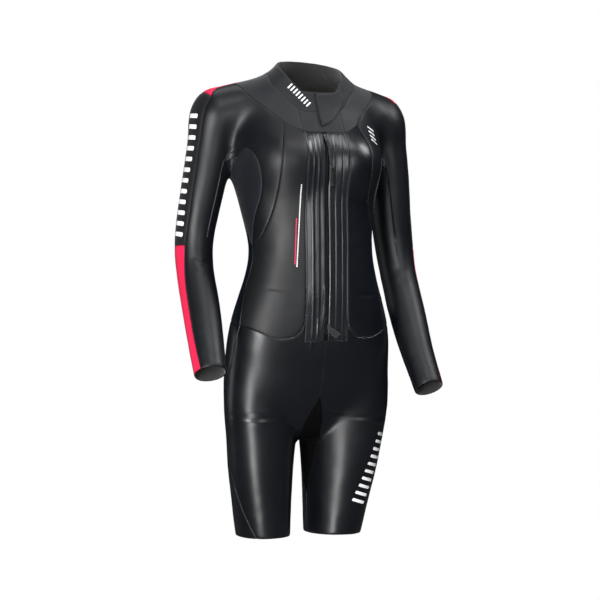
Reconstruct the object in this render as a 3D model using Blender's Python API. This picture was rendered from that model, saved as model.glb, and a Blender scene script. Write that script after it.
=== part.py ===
"""Swimrun wetsuit, women's cut: long sleeves, short legs, stand collar, front zip.

It is filled out with no wearer, so every piece is a curved wall on one smooth hollow body form.
Metres, +Z up. The front faces -Y and the wearer's right side is -X. The origin is the middle of the
neck's base, between the shoulders that hold the suit up.

The seams are short tables of places on the form. Between them each piece is a grid of faces, and
neighbours share the grid's border points, so that all pieces meet with one even gap.
"""

import bpy
import numpy as np
from mathutils import Matrix, Vector

# ---------------------------------------------------------------- driving dimensions
BODY_WALL = 0.0028
SLEEVE_WALL = 0.0022
COLLAR_WALL = 0.0020
SEAM_GAP = 0.0003
MOST_MITER = 0.0030

HEM_Z = -0.879
CUFF_Z = {-1: -0.555, 1: -0.590}
RIB_HEIGHT = 0.0010
BAND_RIBS = (0.0299, 0.0169)

SIDE_NAMES = {-1: "right", 1: "left"}

# ---------------------------------------------------------------- sections of the body form


def natural_spline(knots, values):
    """Second derivatives, at the knots, of the smooth curve through each column of values."""
    count = len(knots)
    step = np.diff(knots)
    slope = np.diff(values, axis=0) / step[:, None]
    matrix = np.eye(count)
    target = np.zeros_like(values)
    for i in range(1, count - 1):
        matrix[i, i - 1:i + 2] = step[i - 1], 2 * (step[i - 1] + step[i]), step[i]
        target[i] = 6 * (slope[i] - slope[i - 1])
    return np.linalg.solve(matrix, target)


class Sections:
    """A table of sections, read as smooth functions of its first column."""

    def __init__(self, columns, rows):
        data = np.array(sorted(rows, key=lambda row: row[0]), float)
        self.names = columns.split()[1:]
        self.knots = data[:, 0]
        self.values = data[:, 1:]
        self.bends = natural_spline(self.knots, self.values)

    def __call__(self, at):
        at = np.clip(at, self.knots[0], self.knots[-1])
        i = np.clip(np.searchsorted(self.knots, at) - 1, 0, len(self.knots) - 2)
        step = (self.knots[i + 1] - self.knots[i])[..., None]
        t = (at - self.knots[i])[..., None] / step
        line = self.values[i] * (1 - t) + self.values[i + 1] * t
        bend = ((1 - t) ** 3 - (1 - t)) * self.bends[i] + (t ** 3 - t) * self.bends[i + 1]
        return np.moveaxis(line + bend * step ** 2 / 6, -1, 0)


TORSO = Sections("z half_width front back centre_y power", [
    (0.080, 0.050, 0.054, 0.060, -0.022, 2.0),
    (0.055, 0.054, 0.056, 0.066, -0.020, 2.0),
    (0.034, 0.067, 0.060, 0.076, -0.017, 2.0),
    (0.010, 0.092, 0.067, 0.083, -0.012, 2.0),
    (-0.020, 0.118, 0.075, 0.089, -0.006, 2.1),
    (-0.056, 0.138, 0.088, 0.097, 0.000, 2.3),
    (-0.100, 0.150, 0.107, 0.102, -0.002, 2.4),
    (-0.150, 0.150, 0.115, 0.103, -0.006, 2.4),
    (-0.200, 0.141, 0.108, 0.096, -0.013, 2.3),
    (-0.260, 0.130, 0.097, 0.088, -0.026, 2.2),
    (-0.320, 0.124, 0.085, 0.086, -0.040, 2.2),
    (-0.380, 0.134, 0.085, 0.096, -0.040, 2.2),
    (-0.440, 0.152, 0.088, 0.116, -0.035, 2.2),
    (-0.500, 0.163, 0.087, 0.131, -0.029, 2.2),
    (-0.560, 0.162, 0.080, 0.134, -0.020, 2.25),
    (-0.610, 0.150, 0.072, 0.122, -0.010, 2.3),
    (-0.650, 0.122, 0.058, 0.094, 0.000, 2.2),
    (-0.680, 0.078, 0.038, 0.060, 0.006, 2.0),
    (-0.700, 0.020, 0.015, 0.020, 0.010, 2.0),
])
LEG = Sections("z centre_x centre_y half_width front back power skew", [
    (-0.460, 0.080, -0.020, 0.0300, 0.040, 0.060, 2.0, 0.20),
    (-0.510, 0.085, -0.010, 0.0580, 0.064, 0.085, 2.0, 0.20),
    (-0.560, 0.087, -0.003, 0.0720, 0.077, 0.098, 2.1, 0.22),
    (-0.620, 0.087, 0.002, 0.0765, 0.082, 0.099, 2.1, 0.23),
    (-0.680, 0.0850, 0.008, 0.0720, 0.080, 0.090, 2.1, 0.21),
    (-0.740, 0.0835, 0.014, 0.0665, 0.076, 0.083, 2.1, 0.17),
    (-0.800, 0.0800, 0.021, 0.0605, 0.071, 0.077, 2.1, 0.12),
    (-0.900, 0.0720, 0.030, 0.0510, 0.062, 0.066, 2.1, 0.04),
])
ARM_COLUMNS = "z centre_x centre_y half_width half_depth"
ARM = {
    -1: Sections(ARM_COLUMNS, [
        (-0.030, 0.176, 0.020, 0.0430, 0.048),
        (-0.100, 0.184, 0.022, 0.0435, 0.049),
        (-0.160, 0.193, 0.024, 0.0430, 0.048),
        (-0.230, 0.204, 0.029, 0.0410, 0.044),
        (-0.300, 0.213, 0.036, 0.0375, 0.042),
        (-0.350, 0.216, 0.026, 0.0360, 0.042),
        (-0.410, 0.217, -0.004, 0.0360, 0.043),
        (-0.470, 0.220, -0.042, 0.0350, 0.041),
        (-0.530, 0.223, -0.078, 0.0320, 0.037),
        (-0.620, 0.227, -0.134, 0.0290, 0.034),
    ]),
    1: Sections(ARM_COLUMNS, [
        (-0.030, 0.176, 0.020, 0.0430, 0.048),
        (-0.100, 0.185, 0.022, 0.0435, 0.049),
        (-0.160, 0.193, 0.024, 0.0430, 0.048),
        (-0.230, 0.202, 0.029, 0.0410, 0.044),
        (-0.300, 0.213, 0.036, 0.0385, 0.042),
        (-0.360, 0.220, 0.030, 0.0360, 0.042),
        (-0.430, 0.221, -0.004, 0.0360, 0.043),
        (-0.490, 0.220, -0.040, 0.0340, 0.041),
        (-0.550, 0.222, -0.078, 0.0310, 0.037),
        (-0.640, 0.229, -0.134, 0.0280, 0.034),
    ]),
}
SHOULDER_INNER = np.array((0.055, 0.002, -0.038))
SHOULDER_OUTER = np.array((0.170, 0.020, -0.056))
SHOULDER_RADII = (0.062, 0.052)
BUST_CENTRE = np.array((0.068, -0.082, -0.152))
BUST_RADIUS = 0.047
TORSO_END_Z = -0.69
LEG_START_Z = -0.47
ARM_START_Z = -0.06
BLEND = {"torso_end": 0.02, "leg_start": 0.02, "legs": 0.024, "arm_start": 0.05, "arm": 0.04,
         "bust": 0.072, "shoulder": 0.035}


def smooth_min(a, b, width):
    """The smaller of two distances, rounded over where they are within width of each other."""
    near = np.maximum(width - np.abs(a - b), 0) / width
    return np.minimum(a, b) - near ** 3 * width / 6


def smooth_max(a, b, width):
    return -smooth_min(-a, -b, width)


def egg(x, y, half_width, front, back, power):
    """Distance out of an egg-shaped section, which has its own depth to the front and to the back."""
    radius = np.hypot(x, y) + 1e-9
    toward_back = y / radius
    share = 0.5 + 0.5 * np.sin(np.clip(toward_back, -1, 1) * np.pi / 2)
    depth = front + (back - front) * share
    outline = np.abs(x / radius / half_width) ** power + np.abs(toward_back / depth) ** power
    return radius - np.maximum(outline, 1e-6) ** (-1 / power)


def shoulder_beam(p):
    """Distance out of the tapered round beam from the neck to the point of the shoulder."""
    axis = SHOULDER_OUTER - SHOULDER_INNER
    t = np.clip((p - SHOULDER_INNER) @ axis / (axis @ axis), 0, 1)
    off = np.linalg.norm(p - SHOULDER_INNER - t[..., None] * axis, axis=-1)
    return off - (SHOULDER_RADII[0] + (SHOULDER_RADII[1] - SHOULDER_RADII[0]) * t)


def form(p):
    """Distance-like value: negative inside the body form, positive outside it."""
    x, y, z = p[..., 0], p[..., 1], p[..., 2]
    half_width, front, back, centre_y, power = TORSO(z)
    body = egg(x, y - centre_y, half_width, front, back, power)
    body = smooth_max(body, TORSO_END_Z - z, BLEND["torso_end"])
    for side in (-1, 1):
        centre_x, centre_y, half_width, front, back, power, skew = LEG(z)
        across = x * side - centre_x + skew * (y - centre_y)
        leg = egg(across, y - centre_y, half_width, front, back, power)
        leg = smooth_max(leg, z - LEG_START_Z, BLEND["leg_start"])
        body = smooth_min(body, leg, BLEND["legs"])
    for side in (-1, 1):
        mirrored = p * np.array((side, 1, 1))
        centre_x, centre_y, half_width, half_depth = ARM[side](z)
        arm = 0.95 * egg(mirrored[..., 0] - centre_x, y - centre_y, half_width, half_depth, half_depth, 2)
        arm = smooth_max(arm, z - ARM_START_Z, BLEND["arm_start"])
        sleeve = smooth_min(shoulder_beam(mirrored), arm, BLEND["arm"])
        bust = np.linalg.norm(mirrored - BUST_CENTRE, axis=-1) - BUST_RADIUS
        body = smooth_min(body, bust, BLEND["bust"])
        body = smooth_min(body, sleeve, BLEND["shoulder"])
    return body


def slope(p):
    """Gradient of the form, by central differences."""
    step = 1e-4 * np.eye(3)
    return np.stack([(form(p + e) - form(p - e)) / 2e-4 for e in step], axis=-1)


def outward(p):
    g = slope(p)
    return g / np.linalg.norm(g, axis=-1, keepdims=True)


def settle(p, rounds=6):
    """Moves points onto the form's surface, straight down its slope."""
    for _ in range(rounds):
        g = slope(p)
        p = p - form(p)[..., None] * g / (g * g).sum(-1, keepdims=True)
    return p


# ---------------------------------------------------------------- places on the form


def cast(origin, direction, reach=0.25):
    """The first point where a ray that starts inside the form leaves it."""
    origin, direction = np.array(origin, float), np.array(direction, float)
    direction /= np.linalg.norm(direction)
    steps = np.linspace(0, reach, 126)
    out = np.argmax(form(origin + steps[:, None] * direction) > 0)
    low, high = steps[out - 1], steps[out]
    for _ in range(24):
        middle = (low + high) / 2
        low, high = (middle, high) if form(origin + middle * direction) < 0 else (low, middle)
    return origin + low * direction


def round_the(section_centre, side, degrees, z):
    """degrees turns from straight out sideways to the front."""
    turn = np.radians(degrees)
    return cast((side * section_centre[0], section_centre[1], z), (side * np.cos(turn), -np.sin(turn), 0))


def on_torso(side, degrees, z):
    """degrees is 0 at the middle of the front, 90 at the side and 180 at the middle of the back."""
    centre_y = TORSO(np.array(z))[3]
    return round_the((0, centre_y), side, 90 - degrees, z)


def on_arm(side, degrees, z):
    return round_the(ARM[side](np.array(z))[:2], side, degrees, z)


def on_leg(side, degrees, z):
    return round_the(LEG(np.array(z))[:2], side, degrees, z)


def on_front(side, x, z):
    return cast((side * x, TORSO(np.array(z))[3], z), (0, -1, 0))


def on_crown(side, x, y):
    """The top of the shoulder above a place in the plan."""
    return cast((side * x, y, -0.08), (0, 0, 1))


def at_cuff(side, degrees, _):
    """The cuff's edge lies in a plane square to the forearm."""
    centre = np.array((*ARM[side](np.array(CUFF_Z[side]))[:2], CUFF_Z[side]))
    further = np.array((*ARM[side](np.array(CUFF_Z[side] - 0.02))[:2], CUFF_Z[side] - 0.02))
    axis = (further - centre) / np.linalg.norm(further - centre)
    z = CUFF_Z[side]
    for _ in range(12):
        place = on_arm(side, degrees, z) * np.array((side, 1, 1))
        z -= ((place - centre) @ axis) / axis[2] * 0.8
    return on_arm(side, degrees, z)


def in_armpit(side, x, y):
    return settle(np.array((side * x, y, -0.160)), 20)


def under_crotch(side, x, y):
    return cast((side * x, y, -0.600), (0, 0, -1))


PLACES = {"torso": on_torso, "arm": on_arm, "leg": on_leg, "front": on_front, "crown": on_crown,
          "cuff": at_cuff, "armpit": in_armpit, "under": under_crotch}

# ---------------------------------------------------------------- corners and seams
# A corner is a place, and a seam runs from one corner to another through the places between them.
# The last number is how many faces lie along the seam.

CORNERS = {
    "collar_front": ("front", 0.000, -0.057),
    "collar_guard": ("front", 0.043, -0.052),
    "collar_mid": ("torso", 35, -0.042),
    "collar_strip_front": ("crown", 0.086, 0.001),
    "collar_strip_back": ("crown", 0.082, 0.036),
    "collar_raglan": ("torso", 150, 0.014),
    "collar_back": ("torso", 180, 0.008),
    "rim_front": ("front", 0.000, -0.0165),
    "rim_guard": ("torso", 27, -0.0145),
    "rim_mid": ("torso", 38, 0.000),
    "rim_strip_front": ("torso", 98, 0.043),
    "rim_strip_back": ("torso", 128, 0.051),
    "rim_raglan": ("torso", 152, 0.056),
    "rim_back": ("torso", 180, 0.0585),
    "yoke_corner": ("torso", 40, -0.076),
    "raglan_top": ("crown", 0.139, 0.0088),
    "chest": ("torso", 37.5, -0.126),
    "waist": ("torso", 87, -0.315),
    "hip": ("torso", 80, -0.465),
    "band_top": ("front", 0.043, -0.093),
    "tongue_start": ("front", 0.043, -0.430),
    "tongue_tip": ("torso", 38, -0.487),
    "band_end": ("front", 0.043, -0.495),
    "chain_top": ("front", 0.0038, -0.096),
    "chain_end": ("front", 0.0038, -0.495),
    "zip_top": ("front", 0.000, -0.096),
    "zip_end": ("front", 0.000, -0.495),
    "arm_front": ("arm", 46, -0.125),
    "arm_back": ("arm", -16, -0.125),
    "armpit_front": ("torso", 68, -0.126),
    "armpit": ("armpit", 0.152, 0.029),
    "armpit_back": ("torso", 112, -0.126),
    "shoulder_front": ("crown", 0.196, -0.014),
    "shoulder_back": ("crown", 0.200, 0.040),
    "elbow_front": ("arm", 44, -0.311),
    "elbow_back": ("arm", -18, -0.311),
    "cuff_front": ("cuff", 42, 0),
    "cuff_back": ("cuff", -18, 0),
    "cuff_inner": ("cuff", 178, 0),
    "crotch_front": ("front", 0.000, -0.602),
    "crotch_back": ("torso", 180, -0.640),
    "thigh_inner": ("leg", 188, -0.800),
    "hem_inner": ("leg", 188, HEM_Z),
    "hem_side": ("leg", 60, HEM_Z),
    "seat_top": ("torso", 180, -0.435),
}

SEAMS = {
    # collar, from the front to the middle of the back
    "neck_guard": ("collar_front", [("front", 0.022, -0.0555)], "collar_guard", 7),
    "neck_yoke": ("collar_guard", [], "collar_mid", 5),
    "neck_side": ("collar_mid", [("torso", 50, -0.017), ("torso", 65, 0.001), ("torso", 84, 0.020)],
                  "collar_strip_front", 8),
    "neck_strip": ("collar_strip_front", [], "collar_strip_back", 3),
    "neck_sleeve": ("collar_strip_back", [("torso", 136, 0.022)], "collar_raglan", 4),
    "neck_back": ("collar_raglan", [("torso", 165, 0.0095)], "collar_back", 9),
    "rim_guard": ("rim_front", [("torso", 14, -0.0165)], "rim_guard", 7),
    "rim_yoke": ("rim_guard", [], "rim_mid", 5),
    "rim_side": ("rim_mid", [("torso", 50, 0.015), ("torso", 62, 0.027), ("torso", 80, 0.037)],
                 "rim_strip_front", 8),
    "rim_strip": ("rim_strip_front", [], "rim_strip_back", 3),
    "rim_sleeve": ("rim_strip_back", [], "rim_raglan", 4),
    "rim_nape": ("rim_raglan", [("torso", 166, 0.058)], "rim_back", 9),
    "collar_opening": ("collar_front", [], "rim_front", 3),
    "collar_join": ("collar_strip_back", [], "rim_strip_back", 3),
    "collar_centre": ("collar_back", [], "rim_back", 3),
    # front of the body
    "princess_top": ("chest", [("torso", 38, -0.103)], "yoke_corner", 6),
    "princess": ("waist", [("torso", 77, -0.303), ("torso", 64, -0.276), ("torso", 52, -0.236),
                           ("torso", 41, -0.186), ("torso", 37, -0.150)], "chest", 10),
    "front_top": ("yoke_corner", [("torso", 31, -0.086)], "band_top", 5),
    "band_side": ("band_top", [("front", 0.043, z) for z in (-0.16, -0.24, -0.34)], "tongue_start", 18),
    "band_foot": ("tongue_start", [], "band_end", 4),
    "tongue_round": ("tongue_start", [("front", 0.044, -0.447), ("torso", 30, -0.472)], "tongue_tip", 4),
    "tongue": ("tongue_tip", [("torso", 47, -0.490), ("torso", 58, -0.484), ("torso", 69, -0.472)],
               "hip", 5),
    "side_top": ("waist", [("torso", 86, -0.350), ("torso", 88, -0.385), ("torso", 83, -0.430)], "hip", 6),
    "guard_side": ("band_top", [], "collar_guard", 5),
    "guard_centre": ("zip_top", [], "collar_front", 5),
    "band_head": ("band_top", [("front", x, -0.096) for x in (0.036, 0.030, 0.020, 0.010)], "chain_top", 6),
    "chain_head": ("chain_top", [], "zip_top", 1),
    "band_tail": ("band_end", [("front", x, -0.495) for x in (0.030, 0.020, 0.010)], "chain_end", 6),
    "chain_tail": ("chain_end", [], "zip_end", 1),
    "chain_side": ("chain_top", [("front", 0.0038, z) for z in (-0.16, -0.24, -0.34, -0.42)],
                   "chain_end", 22),
    "zip_line": ("zip_top", [("front", 0.0, z) for z in (-0.16, -0.24, -0.34, -0.42)], "zip_end", 22),
    # underarm and side
    "underarm": ("waist", [("torso", 83, -0.290), ("torso", 73, -0.253), ("torso", 62, -0.218),
                           ("torso", 56, -0.180), ("torso", 58, -0.145)], "armpit_front", 10),
    "side_back": ("waist", [("torso", 97, -0.285), ("torso", 108, -0.245), ("torso", 114, -0.200),
                            ("torso", 115, -0.160)], "armpit_back", 10),
    "pit_front": ("armpit_front", [], "armpit", 3),
    "pit_back": ("armpit_back", [], "armpit", 3),
    "chest_row": ("armpit_front", [("torso", 52, -0.126)], "chest", 4),
    # sleeves
    "strip_front_low": ("cuff_front", [("arm", 36, -0.50), ("arm", 34, -0.44), ("arm", 40, -0.36)],
                        "elbow_front", 12),
    "strip_front_mid": ("elbow_front", [("arm", 48, -0.25), ("arm", 47, -0.19)], "arm_front", 8),
    "strip_front_top": ("arm_front", [("arm", 47, -0.085), ("arm", 51, -0.050)], "shoulder_front", 4),
    "strip_front_crown": ("shoulder_front", [("crown", 0.180, 0.001), ("crown", 0.160, 0.009)],
                          "raglan_top", 2),
    "strip_front_neck": ("raglan_top", [("crown", 0.125, 0.008)], "collar_strip_front", 5),
    "strip_back_low": ("cuff_back", [("arm", -20, -0.50), ("arm", -22, -0.44), ("arm", -20, -0.36)],
                       "elbow_back", 12),
    "strip_back_mid": ("elbow_back", [("arm", -17, -0.25), ("arm", -16, -0.19)], "arm_back", 8),
    "strip_back_top": ("arm_back", [("arm", -17, -0.085), ("arm", -20, -0.055)], "shoulder_back", 4),
    "strip_back_crown": ("shoulder_back", [("crown", 0.184, 0.045), ("crown", 0.160, 0.047),
                                           ("crown", 0.125, 0.044)], "collar_strip_back", 7),
    "inner_arm": ("cuff_inner", [("arm", 178, -0.50), ("arm", 180, -0.43), ("arm", 182, -0.36),
                                 ("arm", 182, -0.29), ("arm", 181, -0.22), ("arm", 180, -0.18)],
                  "armpit", 20),
    "cuff_strip": ("cuff_front", [("cuff", 12, 0)], "cuff_back", 3),
    "cuff_front": ("cuff_front", [("cuff", 75, 0), ("cuff", 110, 0), ("cuff", 145, 0)], "cuff_inner", 7),
    "cuff_back": ("cuff_back", [("cuff", -50, 0), ("cuff", -90, 0), ("cuff", -140, 0)], "cuff_inner", 7),
    "elbow_strip": ("elbow_front", [("arm", 12, -0.311)], "elbow_back", 3),
    "shoulder_strip": ("shoulder_front", [("crown", 0.202, 0.012)], "shoulder_back", 3),
    "arm_row_front": ("arm_front", [("arm", 75, -0.122), ("arm", 105, -0.120)], "armpit_front", 4),
    "arm_row_back": ("arm_back", [("arm", -50, -0.122), ("arm", -85, -0.120), ("arm", -115, -0.122)],
                     "armpit_back", 4),
    "raglan_back": ("armpit_back", [("torso", 117, -0.085), ("torso", 126, -0.045),
                                    ("torso", 138, -0.010)], "collar_raglan", 11),
    "raglan_front": ("yoke_corner", [("torso", 57, -0.050), ("torso", 67, -0.036), ("torso", 76, -0.021),
                                     ("torso", 86, -0.005)], "raglan_top", 8),
    # seat and legs
    "centre_front": ("zip_end", [("front", 0.0, -0.530), ("front", 0.0, -0.570)], "crotch_front", 6),
    "gusset_front": ("crotch_front", [("leg", 136, -0.636), ("leg", 145, -0.675), ("leg", 156, -0.710),
                                      ("leg", 172, -0.757)], "thigh_inner", 10),
    "gusset_back": ("crotch_back", [("leg", 238, -0.672), ("leg", 230, -0.705), ("leg", 212, -0.755)],
                    "thigh_inner", 10),
    "inner_leg": ("thigh_inner", [], "hem_inner", 4),
    "side_leg": ("hip", [("torso", 82, -0.500), ("torso", 86, -0.545), ("leg", -4, -0.600),
                         ("leg", 0, -0.660), ("leg", 7, -0.720), ("leg", 18, -0.772),
                         ("leg", 37, -0.830)], "hem_side", 20),
    "hem_front": ("hem_side", [("leg", 92, HEM_Z), ("leg", 124, HEM_Z), ("leg", 156, HEM_Z)],
                  "hem_inner", 14),
    "hem_back": ("hem_side", [("leg", 24, HEM_Z), ("leg", -12, HEM_Z), ("leg", -48, HEM_Z),
                              ("leg", -84, HEM_Z), ("leg", -120, HEM_Z)], "hem_inner", 9),
    "tongue_foot": ("tongue_tip", [], "band_end", 2),
    "mid_gusset": ("crotch_front", [("under", 0.0, -0.040), ("under", 0.0, 0.020), ("under", 0.0, 0.070)],
                   "crotch_back", 5),
    "seat_seam": ("hip", [("torso", 98, -0.460), ("torso", 118, -0.452), ("torso", 138, -0.444),
                          ("torso", 160, -0.438)], "seat_top", 9),
    "centre_seat": ("seat_top", [("torso", 180, -0.50), ("torso", 180, -0.57)], "crotch_back", 6),
    "centre_back": ("seat_top", [("torso", 180, z) for z in (-0.37, -0.30, -0.22, -0.14, -0.06)],
                    "collar_back", 27),
}

# A panel is one or more patches: its wall, then four sides in turn, each a chain of seams (a minus
# runs one backwards, a dot stands for the single corner where two seams meet in a point). The sides
# go bottom left to right, right side up, top left to right, left side up.

PANELS = {
    "collar_front": (COLLAR_WALL, [
        ("neck_guard neck_yoke neck_side neck_strip", "collar_join", "rim_guard rim_yoke rim_side rim_strip",
         "collar_opening")]),
    "collar_back": (COLLAR_WALL, [
        ("neck_sleeve neck_back", "collar_centre", "rim_sleeve rim_nape", "collar_join")]),
    "zip_guard": (BODY_WALL, [("-chain_head -band_head", "guard_side", "neck_guard", "guard_centre")]),
    "front": (BODY_WALL, [
        ("-tongue", "-tongue_round -band_side", "front_top", "-side_top princess princess_top")]),
    "zip_band": (BODY_WALL, [("band_tail", "-chain_side", "band_head", "-band_foot -band_side")]),
    "zip_chain": (BODY_WALL, [("chain_tail", "-zip_line", "chain_head", "-chain_side")]),
    "yoke": (BODY_WALL, [
        ("-raglan_front front_top", "guard_side", "-neck_side -neck_yoke", "strip_front_neck")]),
    "sleeve_front": (SLEEVE_WALL, [
        ("cuff_front", "inner_arm", "arm_row_front pit_front", "strip_front_low strip_front_mid", "arm"),
        ("arm_row_front chest_row", "princess_top", "-raglan_front", "strip_front_top strip_front_crown"),
        (".waist 4", "princess", "chest_row", "underarm")]),
    "side": (BODY_WALL, [(".waist 6", "underarm", "pit_back -pit_front", "side_back")]),
    "sleeve_back": (SLEEVE_WALL, [
        ("cuff_back", "inner_arm", "arm_row_back pit_back", "strip_back_low strip_back_mid", "arm"),
        ("arm_row_back", "raglan_back", "neck_sleeve", "strip_back_top strip_back_crown")]),
    "strip_fore": (SLEEVE_WALL, [("cuff_strip", "strip_back_low", "elbow_strip", "strip_front_low")]),
    "strip_upper": (SLEEVE_WALL, [
        ("elbow_strip", "strip_back_mid strip_back_top", "shoulder_strip",
         "strip_front_mid strip_front_top")]),
    "strip_shoulder": (SLEEVE_WALL, [
        ("shoulder_strip", "strip_back_crown", "neck_strip", "strip_front_crown strip_front_neck")]),
    "back": (BODY_WALL, [("seat_seam", "centre_back", "neck_back", "-side_top side_back raglan_back")]),
    "shorts_front": (BODY_WALL, [
        ("hem_front", "-inner_leg -gusset_front -centre_front", "-tongue tongue_foot band_tail chain_tail",
         "-side_leg"),
        ("tongue_foot", "-band_foot", ".tongue_start 2", "-tongue_round")]),
    "shorts_back": (BODY_WALL, [
        ("hem_back", "-inner_leg -gusset_back -centre_seat", "seat_seam", "-side_leg")]),
    "gusset": (BODY_WALL, [(".thigh_inner 5", "-gusset_back", "mid_gusset", "-gusset_front")]),
}
ACROSS = ("collar_back", "zip_guard", "zip_chain", "back", "gusset")

# ---------------------------------------------------------------- the grid between the seams


def place(side, name):
    kind, first, second = CORNERS[name]
    return on_centre_plane(name, PLACES[kind](side, first, second))


def on_centre_plane(name, points):
    """Points of the middle of the body get x = 0 exactly, so that both halves share them."""
    if name in CENTRE:
        points = points * np.array((0.0, 1.0, 1.0))
    return points


CENTRE = ("collar_front", "collar_back", "rim_front", "rim_back", "zip_top", "zip_end", "crotch_front",
          "crotch_back", "seat_top", "guard_centre", "zip_line", "centre_front", "centre_seat",
          "centre_back", "collar_opening", "collar_centre", "mid_gusset")


def even_points(points, count):
    """count + 1 points at equal steps along the smooth curve through the given points."""
    length = np.concatenate([[0], np.cumsum(np.linalg.norm(np.diff(points, axis=0), axis=1))])
    curve = Sections("length x y z", np.column_stack([length, points]))
    fine = np.stack(curve(np.linspace(0, length[-1], 40 * count + 1)), axis=-1)
    run = np.concatenate([[0], np.cumsum(np.linalg.norm(np.diff(fine, axis=0), axis=1))])
    steps = np.linspace(0, run[-1], count + 1)
    return np.column_stack([np.interp(steps, run, fine[:, i]) for i in range(3)])


def seam_points(side):
    """Every seam of one side as points on the form."""
    corners = {name: place(side, name) for name in CORNERS}
    found = {}
    for name, (start, between, end, count) in SEAMS.items():
        stops = [corners[start], *(PLACES[k](side, u, v) for k, u, v in between), corners[end]]
        line = on_centre_plane(name, settle(even_points(np.array(stops), count)))
        line[0], line[-1] = corners[start], corners[end]
        found[name] = line
    return corners, found


def chain(text, corners, seams):
    """The points of a chain of seams, such as "side_top -princess"."""
    if text.startswith("."):
        name, count = text[1:].split()
        return np.repeat(corners[name][None], int(count) + 1, axis=0)
    runs = [seams[n[1:]][::-1] if n.startswith("-") else seams[n] for n in text.split()]
    return np.concatenate([runs[0], *(run[1:] for run in runs[1:])])


def from_arm_axis(points):
    """Moves points onto the form along level rays from the arm's axis."""
    side = 1 if points[..., 0].mean() > 0 else -1
    centre_x, centre_y = ARM[side](points[..., 2])[:2]
    centre = np.stack([side * centre_x, centre_y, points[..., 2]], axis=-1)
    ray = points - centre
    shares = np.linspace(0.3, 1.9, 65)
    outside = form(centre + shares[:, None, None, None] * ray) > 0
    high = shares[np.maximum(np.argmax(outside, axis=0), 1)][..., None]
    low = high - (shares[1] - shares[0])
    for _ in range(14):
        middle = (low + high) / 2
        inside = form(centre + middle * ray)[..., None] < 0
        low, high = np.where(inside, middle, low), np.where(inside, high, middle)
    return centre + low * ray


def patch(sides, corners, seams, relaxing=4):
    """A grid of points on the form between four chains of seams."""
    onto_form = from_arm_axis if sides[4:] == ("arm",) else settle
    bottom, right, top, left = (chain(text, corners, seams) for text in sides[:4])
    u = np.linspace(0, 1, len(bottom))[:, None, None]
    v = np.linspace(0, 1, len(left))[None, :, None]
    across = (1 - v) * bottom[:, None] + v * top[:, None]
    up = (1 - u) * left[None] + u * right[None]
    flat = ((1 - u) * (1 - v) * bottom[0] + u * (1 - v) * bottom[-1]
            + (1 - u) * v * top[0] + u * v * top[-1])
    grid = across + up - flat
    inner = np.s_[1:-1, 1:-1]
    grid[inner] = settle(onto_form(grid[inner]))
    for _ in range(relaxing):
        middle = (grid[:-2, 1:-1] + grid[2:, 1:-1] + grid[1:-1, :-2] + grid[1:-1, 2:]) / 4
        grid[inner] = settle(onto_form(0.5 * grid[inner] + 0.5 * middle), 3)
    return grid


def weld(grids):
    """Points and faces of several grids, joined where they share points."""
    index, points, faces = {}, [], []

    def number(p):
        key = tuple(np.round(p, 6) + 0.0)
        if key not in index:
            index[key] = len(points)
            points.append(p)
        return index[key]

    for grid in grids:
        turned = not faces_out(grid)
        ids = [[number(p) for p in column] for column in grid]
        for i in range(len(ids) - 1):
            for j in range(len(ids[0]) - 1):
                ring = ids[i][j], ids[i + 1][j], ids[i + 1][j + 1], ids[i][j + 1]
                face = [a for k, a in enumerate(ring) if a != ring[k - 1]]
                if len(face) > 2:
                    faces.append(face[::-1] if turned else face)
    return np.array(points), faces


def faces_out(grid):
    """Whether the grid's faces, taken in order, face out of the form."""
    middle = (grid[:-1, :-1] + grid[1:, 1:] + grid[1:, :-1] + grid[:-1, 1:]) / 4
    normal = np.cross(grid[1:, 1:] - grid[:-1, :-1], grid[:-1, 1:] - grid[1:, :-1])
    return (normal * outward(middle)).sum() > 0


def borders(faces):
    """The directed edges that only one face has, as a map from each point to the next."""
    edges = {(a, b) for face in faces for a, b in zip(face, face[1:] + face[:1])}
    return {a: b for a, b in edges if (b, a) not in edges}


def seam_allowance(points, normals, following):
    """Moves the border points into the panel by half the seam's gap, along the surface."""
    moved = points.copy()
    before = {b: a for a, b in following.items()}
    for at, after in following.items():
        inward = []
        for a, b in ((before[at], at), (at, after)):
            direction = np.cross(normals[at], points[b] - points[a])
            inward.append(direction / np.linalg.norm(direction))
        total = inward[0] + inward[1]
        share = max(1 + inward[0] @ inward[1], 1e-6)
        shift = total / share * SEAM_GAP / 2
        longest = np.linalg.norm(shift)
        moved[at] += shift * min(1, MOST_MITER / max(longest, 1e-9))
    return moved


SPLIT_BY = np.array((1.0, 1.7, 2.3))  # both walls of a seam split their twisted faces the same way


def panel_body(points, faces, wall, lift=None):
    """A closed wall: the outer surface is the grid, and the inner one lies a wall's thickness inside."""
    normals = outward(points)
    following = borders(faces)
    points = seam_allowance(points, normals, following)
    outer = points if lift is None else points + lift[:, None] * normals
    inner = points - wall * normals
    count = len(points)
    shell = list(faces)
    shell += [[a + count for a in face[::-1]] for face in faces]
    rank = points @ SPLIT_BY
    for a, b in following.items():
        if rank[a] > rank[b]:
            shell += [[b, a, a + count], [b, a + count, b + count]]
        else:
            shell += [[b, a, b + count], [a, a + count, b + count]]
    return np.concatenate([outer, inner]), shell


# ---------------------------------------------------------------- objects


def material(name, colour, roughness, metallic=0.0):
    made = bpy.data.materials.new(name)
    made.use_nodes = True
    shader = made.node_tree.nodes["Principled BSDF"]
    shader.inputs["Base Color"].default_value = (*colour, 1)
    shader.inputs["Roughness"].default_value = roughness
    shader.inputs["Metallic"].default_value = metallic
    return made


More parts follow.
